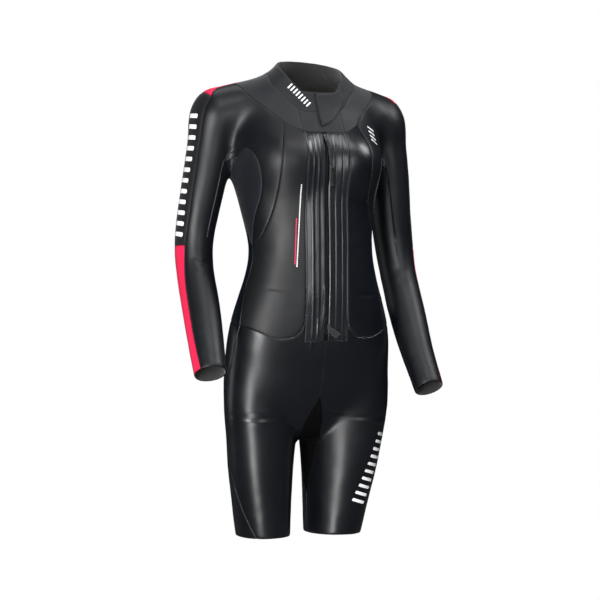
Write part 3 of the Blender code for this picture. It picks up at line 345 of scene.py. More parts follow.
SEAMS = {
    # collar, from the front to the middle of the back
    "neck_guard": ("collar_front", [("front", (0.022, -0.0555))], "collar_guard", 7),
    "neck_yoke": ("collar_guard", [], "collar_mid", 5),
    "neck_side": ("collar_mid", [("torso", (50, -0.017), (65, 0.001), (84, 0.020))],
                  "collar_strip_front", 8),
    "neck_strip": ("collar_strip_front", [], "collar_strip_back", 3),
    "neck_sleeve": ("collar_strip_back", [("torso", (136, 0.022))], "collar_raglan", 4),
    "neck_back": ("collar_raglan", [("torso", (165, 0.0095))], "collar_back", 9),
    "rim_guard": ("rim_front", [("torso", (14, -0.0165))], "rim_guard", 7),
    "rim_yoke": ("rim_guard", [], "rim_mid", 5),
    "rim_side": ("rim_mid", [("torso", (50, 0.015), (62, 0.027), (80, 0.037))], "rim_strip_front", 8),
    "rim_strip": ("rim_strip_front", [], "rim_strip_back", 3),
    "rim_sleeve": ("rim_strip_back", [], "rim_raglan", 4),
    "rim_nape": ("rim_raglan", [("torso", (166, 0.058))], "rim_back", 9),
    "collar_opening": ("collar_front", [], "rim_front", 3),
    "collar_join": ("collar_strip_back", [], "rim_strip_back", 3),
    "collar_centre": ("collar_back", [], "rim_back", 3),
    # front of the body
    "princess_top": ("chest", [("torso", (38, -0.103))], "yoke_corner", 6),
    "princess": ("waist", [("torso", (77, -0.303), (64, -0.276), (52, -0.236), (41, -0.186),
                           (37, -0.150))], "chest", 10),
    "front_top": ("yoke_corner", [("torso", (31, -0.086))], "band_top", 5),
    "band_side": ("band_top", [("front", (0.043, -0.16), (0.043, -0.24), (0.043, -0.34))],
                  "tongue_start", 18),
    "band_foot": ("tongue_start", [], "band_end", 4),
    "tongue_round": ("tongue_start", [("front", (0.044, -0.447)), ("torso", (30, -0.472))],
                     "tongue_tip", 4),
    "tongue": ("tongue_tip", [("torso", (47, -0.490), (58, -0.484), (69, -0.472))], "hip", 5),
    "side_top": ("waist", [("torso", (86, -0.350), (88, -0.385), (83, -0.430))], "hip", 6),
    "guard_side": ("band_top", [], "collar_guard", 5),
    "guard_centre": ("zip_top", [], "collar_front", 5),
    "band_head": ("band_top", [("front", (0.036, -0.096), (0.03, -0.096), (0.02, -0.096),
                               (0.01, -0.096))], "chain_top", 6),
    "chain_head": ("chain_top", [], "zip_top", 1),
    "band_tail": ("band_end", [("front", (0.03, -0.495), (0.02, -0.495), (0.01, -0.495))],
                  "chain_end", 6),
    "chain_tail": ("chain_end", [], "zip_end", 1),
    "chain_side": ("chain_top", [("front", (0.0038, -0.16), (0.0038, -0.24), (0.0038, -0.34),
                                 (0.0038, -0.42))], "chain_end", 22),
    "zip_line": ("zip_top", [("front", (0.0, -0.16), (0.0, -0.24), (0.0, -0.34), (0.0, -0.42))],
                 "zip_end", 22),
    # underarm and side
    "underarm": ("waist", [("torso", (83, -0.290), (73, -0.253), (62, -0.218), (56, -0.180),
                           (58, -0.145))], "armpit_front", 10),
    "side_back": ("waist", [("torso", (97, -0.285), (108, -0.245), (114, -0.200), (115, -0.160))],
                  "armpit_back", 10),
    "pit_front": ("armpit_front", [], "armpit", 3),
    "pit_back": ("armpit_back", [], "armpit", 3),
    "chest_row": ("armpit_front", [("torso", (52, -0.126))], "chest", 4),
    # sleeves
    "strip_front_low": ("cuff_front", [("arm", (36, -0.50), (34, -0.44), (40, -0.36))],
                        "elbow_front", 12),
    "strip_front_mid": ("elbow_front", [("arm", (48, -0.25), (47, -0.19))], "arm_front", 8),
    "strip_front_top": ("arm_front", [("arm", (47, -0.085), (51, -0.050))], "shoulder_front", 4),
    "strip_front_crown": ("shoulder_front", [("crown", (0.180, 0.001), (0.160, 0.009))], "raglan_top", 2),
    "strip_front_neck": ("raglan_top", [("crown", (0.125, 0.008))], "collar_strip_front", 5),
    "strip_back_low": ("cuff_back", [("arm", (-20, -0.50), (-22, -0.44), (-20, -0.36))],
                       "elbow_back", 12),
    "strip_back_mid": ("elbow_back", [("arm", (-17, -0.25), (-16, -0.19))], "arm_back", 8),
    "strip_back_top": ("arm_back", [("arm", (-17, -0.085), (-20, -0.055))], "shoulder_back", 4),
    "strip_back_crown": ("shoulder_back", [("crown", (0.184, 0.045), (0.160, 0.047), (0.125, 0.044))],
                         "collar_strip_back", 7),
    "inner_arm": ("cuff_inner", [("arm", (178, -0.50), (180, -0.43), (182, -0.36), (182, -0.29),
                                 (181, -0.22), (180, -0.18))], "armpit", 20),
    "cuff_strip": ("cuff_front", [("cuff", (12, 0))], "cuff_back", 3),
    "cuff_front": ("cuff_front", [("cuff", (75, 0), (110, 0), (145, 0))], "cuff_inner", 7),
    "cuff_back": ("cuff_back", [("cuff", (-50, 0), (-90, 0), (-140, 0))], "cuff_inner", 7),
    "elbow_strip": ("elbow_front", [("arm", (12, -0.311))], "elbow_back", 3),
    "shoulder_strip": ("shoulder_front", [("crown", (0.202, 0.012))], "shoulder_back", 3),
    "arm_row_front": ("arm_front", [("arm", (75, -0.122), (105, -0.120))], "armpit_front", 4),
    "arm_row_back": ("arm_back", [("arm", (-50, -0.122), (-85, -0.120), (-115, -0.122))],
                     "armpit_back", 4),
    "raglan_back": ("armpit_back", [("torso", (117, -0.085), (126, -0.045), (138, -0.010))],
                    "collar_raglan", 11),
    "raglan_front": ("yoke_corner", [("torso", (57, -0.050), (67, -0.036), (76, -0.021), (86, -0.005))],
                     "raglan_top", 8),
    # seat and legs
    "centre_front": ("zip_end", [("front", (0.0, -0.530), (0.0, -0.570))], "crotch_front", 6),
    "gusset_front": ("crotch_front", [("leg", (136, -0.636), (145, -0.675), (156, -0.710),
                                      (172, -0.757))], "thigh_inner", 10),
    "gusset_back": ("crotch_back", [("leg", (238, -0.672), (230, -0.705), (212, -0.755))],
                    "thigh_inner", 10),
    "inner_leg": ("thigh_inner", [], "hem_inner", 4),
    "side_leg": ("hip", [("torso", (82, -0.500), (86, -0.545)), ("leg", (-4, -0.600), (0, -0.660),
                         (7, -0.720), (18, -0.772), (37, -0.830))], "hem_side", 20),
    "hem_front": ("hem_side", [("leg", (92, HEM_Z), (124, HEM_Z), (156, HEM_Z))], "hem_inner", 14),
    "hem_back": ("hem_side", [("leg", (24, HEM_Z), (-12, HEM_Z), (-48, HEM_Z), (-84, HEM_Z),
                              (-120, HEM_Z))], "hem_inner", 9),
    "tongue_foot": ("tongue_tip", [], "band_end", 2),
    "mid_gusset": ("crotch_front", [("under", (0.0, -0.040), (0.0, 0.020), (0.0, 0.070))],
                   "crotch_back", 5),
    "seat_seam": ("hip", [("torso", (98, -0.460), (118, -0.452), (138, -0.444), (160, -0.438))],
                  "seat_top", 9),
    "centre_seat": ("seat_top", [("torso", (180, -0.50), (180, -0.57))], "crotch_back", 6),
    "centre_back": ("seat_top", [("torso", (180, -0.37), (180, -0.3), (180, -0.22), (180, -0.14),
                                 (180, -0.06))], "collar_back", 27),
}


# A panel is one or more patches: its wall, then four sides in turn, each a chain of seams (a minus
# runs one backwards, a dot stands for the single corner where two seams meet in a point). The sides
# go bottom left to right, right side up, top left to right, left side up. "arm" lays a patch round the
# arm's axis. The panels of ACROSS are one piece from the right to the left.

PANELS = {
    "collar_front": (COLLAR_WALL, [
        ("neck_guard neck_yoke neck_side neck_strip", "collar_join", "rim_guard rim_yoke rim_side rim_strip",
         "collar_opening")]),
    "collar_back": (COLLAR_WALL, [
        ("neck_sleeve neck_back", "collar_centre", "rim_sleeve rim_nape", "collar_join")]),
    "zip_guard": (BODY_WALL, [("-chain_head -band_head", "guard_side", "neck_guard", "guard_centre")]),
    "front": (BODY_WALL, [
        ("-tongue", "-tongue_round -band_side", "front_top", "-side_top princess princess_top")]),
    "zip_band": (BODY_WALL, [("band_tail", "-chain_side", "band_head", "-band_foot -band_side")]),
    "zip_chain": (BODY_WALL, [("chain_tail", "-zip_line", "chain_head", "-chain_side")]),
    "yoke": (BODY_WALL, [
        ("-raglan_front front_top", "guard_side", "-neck_side -neck_yoke", "strip_front_neck")]),
    "sleeve_front": (SLEEVE_WALL, [
        ("cuff_front", "inner_arm", "arm_row_front pit_front", "strip_front_low strip_front_mid", "arm"),
        ("arm_row_front chest_row", "princess_top", "-raglan_front", "strip_front_top strip_front_crown"),
        (".waist 4", "princess", "chest_row", "underarm")]),
    "side": (BODY_WALL, [(".waist 6", "underarm", "pit_back -pit_front", "side_back")]),
    "sleeve_back": (SLEEVE_WALL, [
        ("cuff_back", "inner_arm", "arm_row_back pit_back", "strip_back_low strip_back_mid", "arm"),
        ("arm_row_back", "raglan_back", "neck_sleeve", "strip_back_top strip_back_crown")]),
    "strip_fore": (SLEEVE_WALL, [("cuff_strip", "strip_back_low", "elbow_strip", "strip_front_low")]),
    "strip_upper": (SLEEVE_WALL, [
        ("elbow_strip", "strip_back_mid strip_back_top", "shoulder_strip",
         "strip_front_mid strip_front_top")]),
    "strip_shoulder": (SLEEVE_WALL, [
        ("shoulder_strip", "strip_back_crown", "neck_strip", "strip_front_crown strip_front_neck")]),
    "back": (BODY_WALL, [("seat_seam", "centre_back", "neck_back", "-side_top side_back raglan_back")]),
    "shorts_front": (BODY_WALL, [
        ("hem_front", "-inner_leg -gusset_front -centre_front", "-tongue tongue_foot band_tail chain_tail",
         "-side_leg"),
        ("tongue_foot", "-band_foot", ".tongue_start 2", "-tongue_round")]),
    "shorts_back": (BODY_WALL, [
        ("hem_back", "-inner_leg -gusset_back -centre_seat", "seat_seam", "-side_leg")]),
    "gusset": (BODY_WALL, [(".thigh_inner 5", "-gusset_back", "mid_gusset", "-gusset_front")]),
}
ACROSS = ("collar_back", "zip_guard", "zip_chain", "back", "gusset")


# ---------------------------------------------------------------- the grid between the seams


def on_centre_plane(name, points):
    """Points of the middle of the body get x = 0 exactly, so that both halves share them."""
    if name in CENTRE:
        points = points * np.array((0.0, 1.0, 1.0))
    return points


CENTRE = ("collar_front", "collar_back", "rim_front", "rim_back", "zip_top", "zip_end", "crotch_front",
          "crotch_back", "seat_top", "guard_centre", "zip_line", "centre_front", "centre_seat",
          "centre_back", "collar_opening", "collar_centre", "mid_gusset")


def even_points(points, count):
    """count + 1 points at equal steps along the smooth curve through the given points."""
    length = np.concatenate([[0], np.cumsum(np.linalg.norm(np.diff(points, axis=0), axis=1))])
    curve = Sections("length x y z", np.column_stack([length, points]))
    fine = np.stack(curve(np.linspace(0, length[-1], 40 * count + 1)), axis=-1)
    run = np.concatenate([[0], np.cumsum(np.linalg.norm(np.diff(fine, axis=0), axis=1))])
    steps = np.linspace(0, run[-1], count + 1)
    return np.column_stack([np.interp(steps, run, fine[:, i]) for i in range(3)])


def seam_points(side):
    """Every seam of one side as points on the form."""
    corners = {name: on_centre_plane(name, PLACES[chart](side, *at))
               for chart, named in CORNERS.items() for name, at in named.items()}
    found = {}
    for name, (start, between, end, count) in SEAMS.items():
        stops = [PLACES[chart](side, *at) for chart, *places in between for at in places]
        stops = [corners[start], *stops, corners[end]]
        line = on_centre_plane(name, settle(even_points(np.array(stops), count)))
        line[0], line[-1] = corners[start], corners[end]
        found[name] = line
    return corners, found


def chain(text, corners, seams, times=1):
    """The points of a chain of seams, such as "side_top -princess"."""
    if text.startswith("."):
        name, count = text[1:].split()
        return np.repeat(corners[name][None], int(count) * times + 1, axis=0)
    runs = [seams[n[1:]][::-1] if n.startswith("-") else seams[n] for n in text.split()]
    return np.concatenate([runs[0], *(run[1:] for run in runs[1:])])


def from_arm_axis(points):
    """Moves points onto the form along level rays from the arm's axis."""
    side = 1 if points[..., 0].mean() > 0 else -1
    centre_x, centre_y = ARM[side](points[..., 2])[:2]
    centre = np.stack([side * centre_x, centre_y, points[..., 2]], axis=-1)
    ray = points - centre
    shares = np.linspace(0.3, 1.9, 65)
    outside = form(centre + shares[:, None, None, None] * ray) > 0
    high = shares[np.maximum(np.argmax(outside, axis=0), 1)][..., None]
    low = high - (shares[1] - shares[0])
    for _ in range(14):
        middle = (low + high) / 2
        inside = form(centre + middle * ray)[..., None] < 0
        low, high = np.where(inside, middle, low), np.where(inside, high, middle)
    return centre + low * ray


def patch(sides, corners, seams, relaxing=4):
    """A grid of points on the form between four chains of seams."""
    onto_form = from_arm_axis if sides[4:] == ("arm",) else settle
    bottom, right, top, left = (chain(text, corners, seams) for text in sides[:4])
    u = np.linspace(0, 1, len(bottom))[:, None, None]
    v = np.linspace(0, 1, len(left))[None, :, None]
    across = (1 - v) * bottom[:, None] + v * top[:, None]
    up = (1 - u) * left[None] + u * right[None]
    flat = ((1 - u) * (1 - v) * bottom[0] + u * (1 - v) * bottom[-1]
            + (1 - u) * v * top[0] + u * v * top[-1])
    grid = across + up - flat
    inner = np.s_[1:-1, 1:-1]
    grid[inner] = settle(onto_form(grid[inner]))
    for _ in range(relaxing):
        middle = (grid[:-2, 1:-1] + grid[2:, 1:-1] + grid[1:-1, :-2] + grid[1:-1, 2:]) / 4
        grid[inner] = settle(onto_form(0.5 * grid[inner] + 0.5 * middle), 3)
    return grid


def faces_out(grid):
    """Whether the grid's faces, taken in order, face out of the form."""
    middle = (grid[:-1, :-1] + grid[1:, 1:] + grid[1:, :-1] + grid[:-1, 1:]) / 4
    normal = np.cross(grid[1:, 1:] - grid[:-1, :-1], grid[:-1, 1:] - grid[1:, :-1])
    return (normal * outward(middle)).sum() > 0


def borders(faces):
    """The directed edges that only one face has, as a map from each point to the next."""
    edges = {(a, b) for face in faces for a, b in zip(face, face[1:] + face[:1])}
    return {a: b for a, b in edges if (b, a) not in edges}


def seam_allowance(points, normals, following):
    """Moves the border points into the panel by half the seam's gap, along the surface."""
    moved = points.copy()
    before = {b: a for a, b in following.items()}
    for at, after in following.items():
        inward = []
        for a, b in ((before[at], at), (at, after)):
            direction = np.cross(normals[at], points[b] - points[a])
            inward.append(direction / np.linalg.norm(direction))
        total = inward[0] + inward[1]
        share = max(1 + inward[0] @ inward[1], 1e-6)
        shift = total / share * SEAM_GAP / 2
        longest = np.linalg.norm(shift)
        moved[at] += shift * min(1, MOST_MITER / max(longest, 1e-9))
    return moved


# ---------------------------------------------------------------- the fine net
# Every coarse face is cut into TIMES by TIMES fine ones. The first and last coarse face of a seam
# are cut unevenly, so that the rows lie close together where the cloth turns down into a seam, by
# EDGE_LOW over the last EDGE_WIDTH before its edge.

TIMES = 5
END_STEPS = (0.0, 0.06, 0.18, 0.42, 0.71)
ONLY_FACE_STEPS = (0.0, 0.06, 0.30, 0.70, 0.94, 1.0)
EDGE_LOW = 0.0007
EDGE_WIDTH = 0.0030


def seam_steps(count):
    """Where along a seam of count coarse faces the fine rows start, in coarse faces."""
    steps = np.arange(count * TIMES + 1) / TIMES
    if count == 1:
        steps[:] = ONLY_FACE_STEPS
    else:
        steps[:TIMES] = END_STEPS
        steps[-TIMES:] = count - np.array(END_STEPS)[::-1]
    return steps


def fine_seam(name, line):
    """A seam's smooth curve through its coarse points."""
    count = len(line) - 1
    curve = Sections("index x y z", np.column_stack([np.arange(count + 1), line]))
    points = np.stack(curve(seam_steps(count)), axis=-1)
    points = on_centre_plane(name, settle(points, 3))
    points[0], points[-1] = line[0], line[-1]
    return points


def chain_steps(text):
    """The fine rows' places along a chain of seams, in coarse faces from its start."""
    if text.startswith("."):
        return np.arange(int(text.split()[1]) * TIMES + 1) / TIMES
    runs, start = [np.zeros(1)], 0
    for name in text.split():
        count = SEAMS[name.lstrip("-")][3]
        runs.append(start + seam_steps(count)[1:])
        start += count
    return np.concatenate(runs)


def fine_patch(sides, corners, seams, fine_seams):
    """A fine grid on the form, which follows the coarse grid of the same patch."""
    coarse = patch(sides, corners, seams)
    bottom, right, top, left = (chain_steps(text) for text in sides[:4])
    u = np.linspace(0, 1, len(bottom))[:, None]
    v = np.linspace(0, 1, len(left))[None, :]
    across = (1 - v) * bottom[:, None] + v * top[:, None]
    up = (1 - u) * left[None, :] + u * right[None, :]
    i = np.minimum(across.astype(int), len(coarse) - 2)
    j = np.minimum(up.astype(int), len(coarse[0]) - 2)
    s, t = (across - i)[..., None], (up - j)[..., None]
    grid = ((coarse[i, j] * (1 - s) + coarse[i + 1, j] * s) * (1 - t)
            + (coarse[i, j + 1] * (1 - s) + coarse[i + 1, j + 1] * s) * t)
    bottom, right, top, left = (chain(text, corners, fine_seams, TIMES) for text in sides[:4])
    u, v = u[..., None], v[..., None]
    grid = grid + (1 - v) * (bottom - grid[:, 0])[:, None] + v * (top - grid[:, -1])[:, None]
    grid = grid + (1 - u) * (left - grid[0])[None] + u * (right - grid[-1])[None]
    inner = np.s_[1:-1, 1:-1]
    grid[inner] = settle(grid[inner], 3)
    grid[:, 0], grid[:, -1], grid[0], grid[-1] = bottom, top, left, right
    return grid


def weld(grids):
    """The points and faces of several grids, joined where they share points."""
    points = np.concatenate([grid.reshape(-1, 3) for grid in grids])
    keys = np.round(points, 6) + 0.0
    _, first, index = np.unique(keys, axis=0, return_index=True, return_inverse=True)
    index = index.reshape(-1)
    faces, start = [], 0
    for grid in grids:
        ids = index[start:start + grid.shape[0] * grid.shape[1]].reshape(grid.shape[:2])
        start += ids.size
        rings = np.stack([ids[:-1, :-1], ids[1:, :-1], ids[1:, 1:], ids[:-1, 1:]], axis=-1)
        if not faces_out(grid):
            rings = rings[..., ::-1]
        for ring in rings.reshape(-1, 4).tolist():
            face = [a for k, a in enumerate(ring) if a != ring[k - 1]]
            if len(face) > 2:
                faces.append(face)
    return points[first], faces


def border_distance(points, following):
    """How far each point is from the panel's edge, and how far round the edge its nearest place is."""
    tree = kdtree.KDTree(len(following))
    run, order = {}, []
    left = set(following)
    length = 0.0
    while left:
        at = min(left)
        while at in left:
            left.discard(at)
            run[at] = length
            order.append(at)
            length += float(np.linalg.norm(points[following[at]] - points[at]))
            at = following[at]
    for at in order:
        tree.insert(Vector(points[at]), at)
    tree.balance()
    nearest = np.array([tree.find(Vector(p))[1] for p in points])
    before = {b: a for a, b in following.items()}
    distance = np.full(len(points), np.inf)
    along = np.zeros(len(points))
    for step in (before, {a: a for a in following}):
        start = np.array([step[a] for a in nearest])
        end = np.array([following[a] for a in start])
        edge = points[end] - points[start]
        size = np.linalg.norm(edge, axis=1)
        share = np.clip(((points - points[start]) * edge).sum(1) / size ** 2, 0, 1)
        off = np.linalg.norm(points - points[start] - share[:, None] * edge, axis=1)
        closer = off < distance
        distance = np.where(closer, off, distance)
        along = np.where(closer, np.array([run[a] for a in start]) + share * size, along)
    return distance, along


# ---------------------------------------------------------------- creases
# Each row is a soft ridge (height above 0) or trough (below 0) along a line of places on the form.

CREASES = [
    # chart, side, places (degrees or x, z), half width, height
    # waist: one thin fold a side
    ("torso", -1, [(66, -0.394), (63, -0.395), (53, -0.397), (43, -0.398), (40, -0.399)], 0.0019, -0.0016),
    ("torso", -1, [(66, -0.400), (53, -0.402), (42, -0.403)], 0.0035, 0.0007),
    ("torso", 1, [(40, -0.408), (42, -0.408), (57, -0.408), (74, -0.407), (88, -0.405)], 0.0019, -0.0016),
    ("torso", 1, [(42, -0.413), (60, -0.413), (84, -0.411)], 0.0035, 0.0007),
    # small of the back: broad shallow folds
    ("torso", -1, [(120, -0.342), (150, -0.350), (176, -0.352)], 0.0060, -0.0022),
    ("torso", -1, [(112, -0.356), (140, -0.364), (168, -0.365)], 0.0060, 0.0018),
    ("torso", 1, [(174, -0.338), (150, -0.343), (124, -0.338)], 0.0055, 0.0016),
    ("torso", 1, [(178, -0.372), (156, -0.378), (128, -0.372)], 0.0060, -0.0020),
    ("torso", 1, [(166, -0.398), (140, -0.402), (118, -0.396)], 0.0050, 0.0014),
    ("torso", -1, [(128, -0.392), (150, -0.399), (166, -0.398)], 0.0045, -0.0014),
    # top of the thighs, in front: a thin fold and its bright lower edge
    ("leg", -1, [(24, -0.644), (40, -0.647), (69, -0.650), (99, -0.648), (126, -0.642)], 0.0026, 0.0015),
    ("leg", -1, [(22, -0.637), (40, -0.640), (69, -0.643), (97, -0.641), (124, -0.635)], 0.0030, -0.0016),
    ("leg", -1, [(40, -0.629), (70, -0.632), (100, -0.629)], 0.0050, 0.0006),
    ("leg", 1, [(150, -0.620), (134, -0.627), (116, -0.638), (98, -0.642)], 0.0030, 0.0016),
    ("leg", 1, [(120, -0.648), (100, -0.650), (78, -0.652), (56, -0.655), (36, -0.656)], 0.0026, 0.0015),
    ("leg", 1, [(140, -0.634), (120, -0.643), (96, -0.646), (72, -0.647), (46, -0.648)], 0.0030, -0.0016),
    # under the bust: the cloth bridges the hollow
    *(("front", side, [(0.020, -0.196), (0.050, -0.203), (0.080, -0.202), (0.112, -0.190)], 0.0200, 0.0010)
      for side in SIDE_NAMES),
    # under the seat
    ("leg", -1, [(-40, -0.662), (-70, -0.672), (-100, -0.675), (-122, -0.668)], 0.0065, -0.0026),
    ("leg", -1, [(-46, -0.676), (-76, -0.688), (-104, -0.690)], 0.0060, 0.0016),
    ("leg", 1, [(-36, -0.658), (-68, -0.670), (-98, -0.676), (-120, -0.671)], 0.0065, -0.0026),
    ("leg", 1, [(-44, -0.673), (-72, -0.686), (-100, -0.692)], 0.0060, 0.0017),
    # armpits, in front: short folds that run down and outward into the pit
    ("front", -1, [(0.155, -0.134), (0.148, -0.122), (0.138, -0.115)], 0.0030, -0.0016),
    ("front", -1, [(0.153, -0.141), (0.146, -0.129), (0.134, -0.121)], 0.0032, 0.0013),
    ("front", -1, [(0.149, -0.150), (0.142, -0.135), (0.130, -0.128)], 0.0040, -0.0022),
    ("front", -1, [(0.145, -0.168), (0.139, -0.151), (0.128, -0.142)], 0.0045, 0.0011),
    ("front", 1, [(0.157, -0.132), (0.149, -0.121), (0.139, -0.114)], 0.0036, 0.0013),
    ("front", 1, [(0.153, -0.146), (0.145, -0.133), (0.133, -0.125)], 0.0040, -0.0020),
    ("front", 1, [(0.148, -0.162), (0.141, -0.148), (0.129, -0.139)], 0.0045, 0.0011),
    # armpits, behind
    ("arm", -1, [(-96, -0.110), (-112, -0.128), (-128, -0.148)], 0.0060, -0.0026),
    ("arm", -1, [(-88, -0.126), (-104, -0.146), (-118, -0.166)], 0.0055, 0.0018),
    ("arm", 1, [(-98, -0.106), (-114, -0.126), (-130, -0.150)], 0.0060, -0.0025),
    ("arm", 1, [(-86, -0.130), (-102, -0.150), (-120, -0.170)], 0.0055, 0.0017),
    # inside of the elbows
    ("arm", -1, [(66, -0.332), (92, -0.344), (120, -0.340), (140, -0.330)], 0.0055, -0.0020),
    ("arm", -1, [(74, -0.352), (98, -0.361), (124, -0.356)], 0.0050, 0.0013),
    ("arm", 1, [(84, -0.352), (102, -0.355), (120, -0.350), (142, -0.338)], 0.0080, -0.0014),
    ("arm", 1, [(80, -0.368), (100, -0.374), (126, -0.366)], 0.0080, 0.0009),
]

FRONT_RIDGES = [
    # side, places (x, z), half width, height: beside and below the zip
    # the rib's tail below the band, and the bulge and the hooked wrinkle at the end of the zip
    (-1, [(0.0288, -0.494), (0.0292, -0.502), (0.0296, -0.512)], 0.0026, 0.0011),
    (-1, [(0.0045, -0.388), (0.0050, -0.417), (0.0060, -0.446), (0.0100, -0.470), (0.0110, -0.478)],
     0.0042, 0.0022),
    (-1, [(0.0210, -0.460), (0.0170, -0.455), (0.0115, -0.457)], 0.0016, 0.0010),
    (-1, [(0.0185, -0.458), (0.0180, -0.470), (0.0170, -0.485)], 0.0016, 0.0010),
    (1, [(0.0060, -0.330), (0.0058, -0.380), (0.0062, -0.430)], 0.0030, 0.0010),
]


def crease_lines():
    """Each crease as points on the form, the outward directions there, its half width and height."""
    found = []
    for chart, side, places, width, height in CREASES + [("front", *row) for row in FRONT_RIDGES]:
        stops = np.array([PLACES[chart](side, *at) for at in places])
        line = settle(even_points(stops, 14), 3)
        found.append((line, outward(line), width, height))
    return found


CREASE_LINES = crease_lines()


def creased(points, normals):
    """How far each point is lifted by the listed creases."""
    lift = np.zeros(len(points))
    for line, up, width, height in CREASE_LINES:
        low, high = line.min(0) - 3 * width, line.max(0) + 3 * width
        near = np.flatnonzero(((points > low) & (points < high)).all(1))
        if not len(near):
            continue
        p = points[near][:, None]
        edge = line[1:] - line[:-1]
        share = np.clip(((p - line[:-1]) * edge).sum(-1) / (edge * edge).sum(-1), 0, 1)
        off = np.linalg.norm(p - line[:-1] - share[..., None] * edge, axis=-1)
        best = off.argmin(1)
        found = np.arange(len(near))
        run = (best + share[found, best]) / len(edge)
        facing = np.clip((normals[near] * up[best]).sum(1), 0, 1)
        taper = np.sin(np.pi * np.clip(run, 0.02, 0.98)) ** 0.7
        spread = width * (0.6 + 0.4 * taper)
        lift[near] += height * taper * facing * np.exp(-(off[found, best] / spread) ** 2)
    return lift


SLOW_WAVES = [
    # height, waves in a metre
    (0.0007, 14.0),
    (0.0003, 45.0),
]


def unevenness(points):
    """Slow waves of a fraction of a millimetre, which break up the reflections."""
    return np.array([sum(height * noise.noise(Vector(p) * often) for height, often in SLOW_WAVES)
                     for p in points])


# ---------------------------------------------------------------- cloth pieces


def add_mesh(name, points, faces, material):
    mesh = bpy.data.meshes.new(name)
    mesh.from_pydata(points.tolist(), [], faces)
    mesh.materials.append(material)
    mesh.polygons.foreach_set("use_smooth", [True] * len(mesh.polygons))
    made = bpy.data.objects.new(name, mesh)
    bpy.context.collection.objects.link(made)
    return made


def store(made, name, values):
    layer = made.data.attributes.new(name, "FLOAT", "POINT")
    layer.data.foreach_set("value", np.asarray(values, np.float32))


BAND_RELIEF = [
    # x from the zip, half width, height: ribs and grooves that run down the two zip bands
    (-0.0287, 0.0034, 0.0013),
    (-0.0179, 0.0028, 0.0011),
    (-0.0096, 0.0020, 0.0005),
    (-0.0058, 0.0022, 0.0011),
    (0.0062, 0.0026, 0.0008),
    (0.0164, 0.0022, -0.0010),
    (0.0302, 0.0022, -0.0010),
]
RIBS_TOP_Z = -0.098
RIBS_TOP_FADE = 0.006
RIBS_FOOT_Z = -0.496
RIBS_FOOT_FADE = 0.012
# the foot of the zip, where the bands' edges don't turn down
PRESSED_FROM_Z = -0.470
PRESSED_FADE = 0.020
PRESSED_HALF_WIDTH = 0.0425
PRESSED_SIDE_FADE = 0.004
PRESSED_BEFORE_Y = -0.05


def ribs(points):
    """The soft ribs and grooves that run down the zip bands, fading at the bands' two ends."""
    lift = np.zeros(len(points))
    for at, half_width, height in BAND_RELIEF:
        off = np.clip(np.abs(points[:, 0] - at) / half_width, 0, 1)
        lift += height * (0.5 + 0.5 * np.cos(np.pi * off))
    top = np.clip((RIBS_TOP_Z - points[:, 2]) / RIBS_TOP_FADE, 0, 1)
    foot = np.clip((points[:, 2] - RIBS_FOOT_Z) / RIBS_FOOT_FADE, 0, 1)
    return lift * (top * foot)


def past_the_zip(points):
    """1 at the foot of the zip, where the bands lie smooth with the shorts, and 0 away from it."""
    down = np.clip((PRESSED_FROM_Z - points[:, 2]) / PRESSED_FADE, 0, 1)
    beside = np.clip((PRESSED_HALF_WIDTH - np.abs(points[:, 0])) / PRESSED_SIDE_FADE, 0, 1)
    return down * beside * (points[:, 1] < PRESSED_BEFORE_Y)


def shell(name, grids, wall, material, raised=None):
    """A thin closed shell of cloth: the outer face carries the creases, and its edges turn down."""
    points, faces = weld(grids)
    normals = outward(points)
    following = borders(faces)
    distance, along = border_distance(points, following)
    distance = distance + EDGE_WIDTH * past_the_zip(points)
    points = seam_allowance(points, normals, following)
    drop = np.clip(1 - distance / EDGE_WIDTH, 0, 1)
    lift = creased(points, normals) + unevenness(points) - EDGE_LOW * drop ** 2 * (3 - 2 * drop)
    if raised is not None:
        lift = lift + raised(points)
    outer = points + lift[:, None] * normals
    inner = points + (np.minimum(lift, 0) - wall)[:, None] * normals
    count = len(points)
    both = list(faces)
    both += [[a + count for a in face[::-1]] for face in faces]
    both += [[b, a, a + count, b + count] for a, b in following.items()]
    made = add_mesh(name, np.concatenate([outer, inner]), both, material)
    made.data.materials.append(LINING)
    inside = [0] * len(faces) + [1] * len(faces) + [0] * len(following)
    made.data.polygons.foreach_set("material_index", inside)
    store(made, "edge", np.tile(distance, 2))
    store(made, "along", np.tile(along, 2))
    return made


# ---------------------------------------------------------------- finishes


def linear(code):
    """Linear colour of an sRGB hex code."""
    parts = [int(code[i:i + 2], 16) / 255 for i in (0, 2, 4)]
    return (*(c / 12.92 if c <= 0.04045 else ((c + 0.055) / 1.055) ** 2.4 for c in parts), 1.0)


def node(tree, kind, inputs, **settings):
    """Adds a node with its settings. Each input is a socket to link or a value to set."""
    made = tree.nodes.new("ShaderNode" + kind)
    for key, value in settings.items():
        setattr(made, key, value)
    for key, value in inputs.items():
        if isinstance(value, bpy.types.NodeSocket):
            tree.links.new(value, made.inputs[key])
        else:
            made.inputs[key].default_value = value
    return made.outputs.get("Fac") if kind == "Attribute" else next(o for o in made.outputs if o.enabled)


def finish(name, roughness, **inputs):
    """A new material, its node tree and its shader, with the inputs that are the same all over."""
    made = bpy.data.materials.new(name)
    made.use_nodes = True
    shader = made.node_tree.nodes["Principled BSDF"]
    shader.inputs["Roughness"].default_value = roughness
    for key, value in inputs.items():
        shader.inputs[key.replace("_", " ")].default_value = value
    return made, made.node_tree, shader


def object_place(tree):
    return tree.nodes.new("ShaderNodeTexCoord").outputs["Object"]


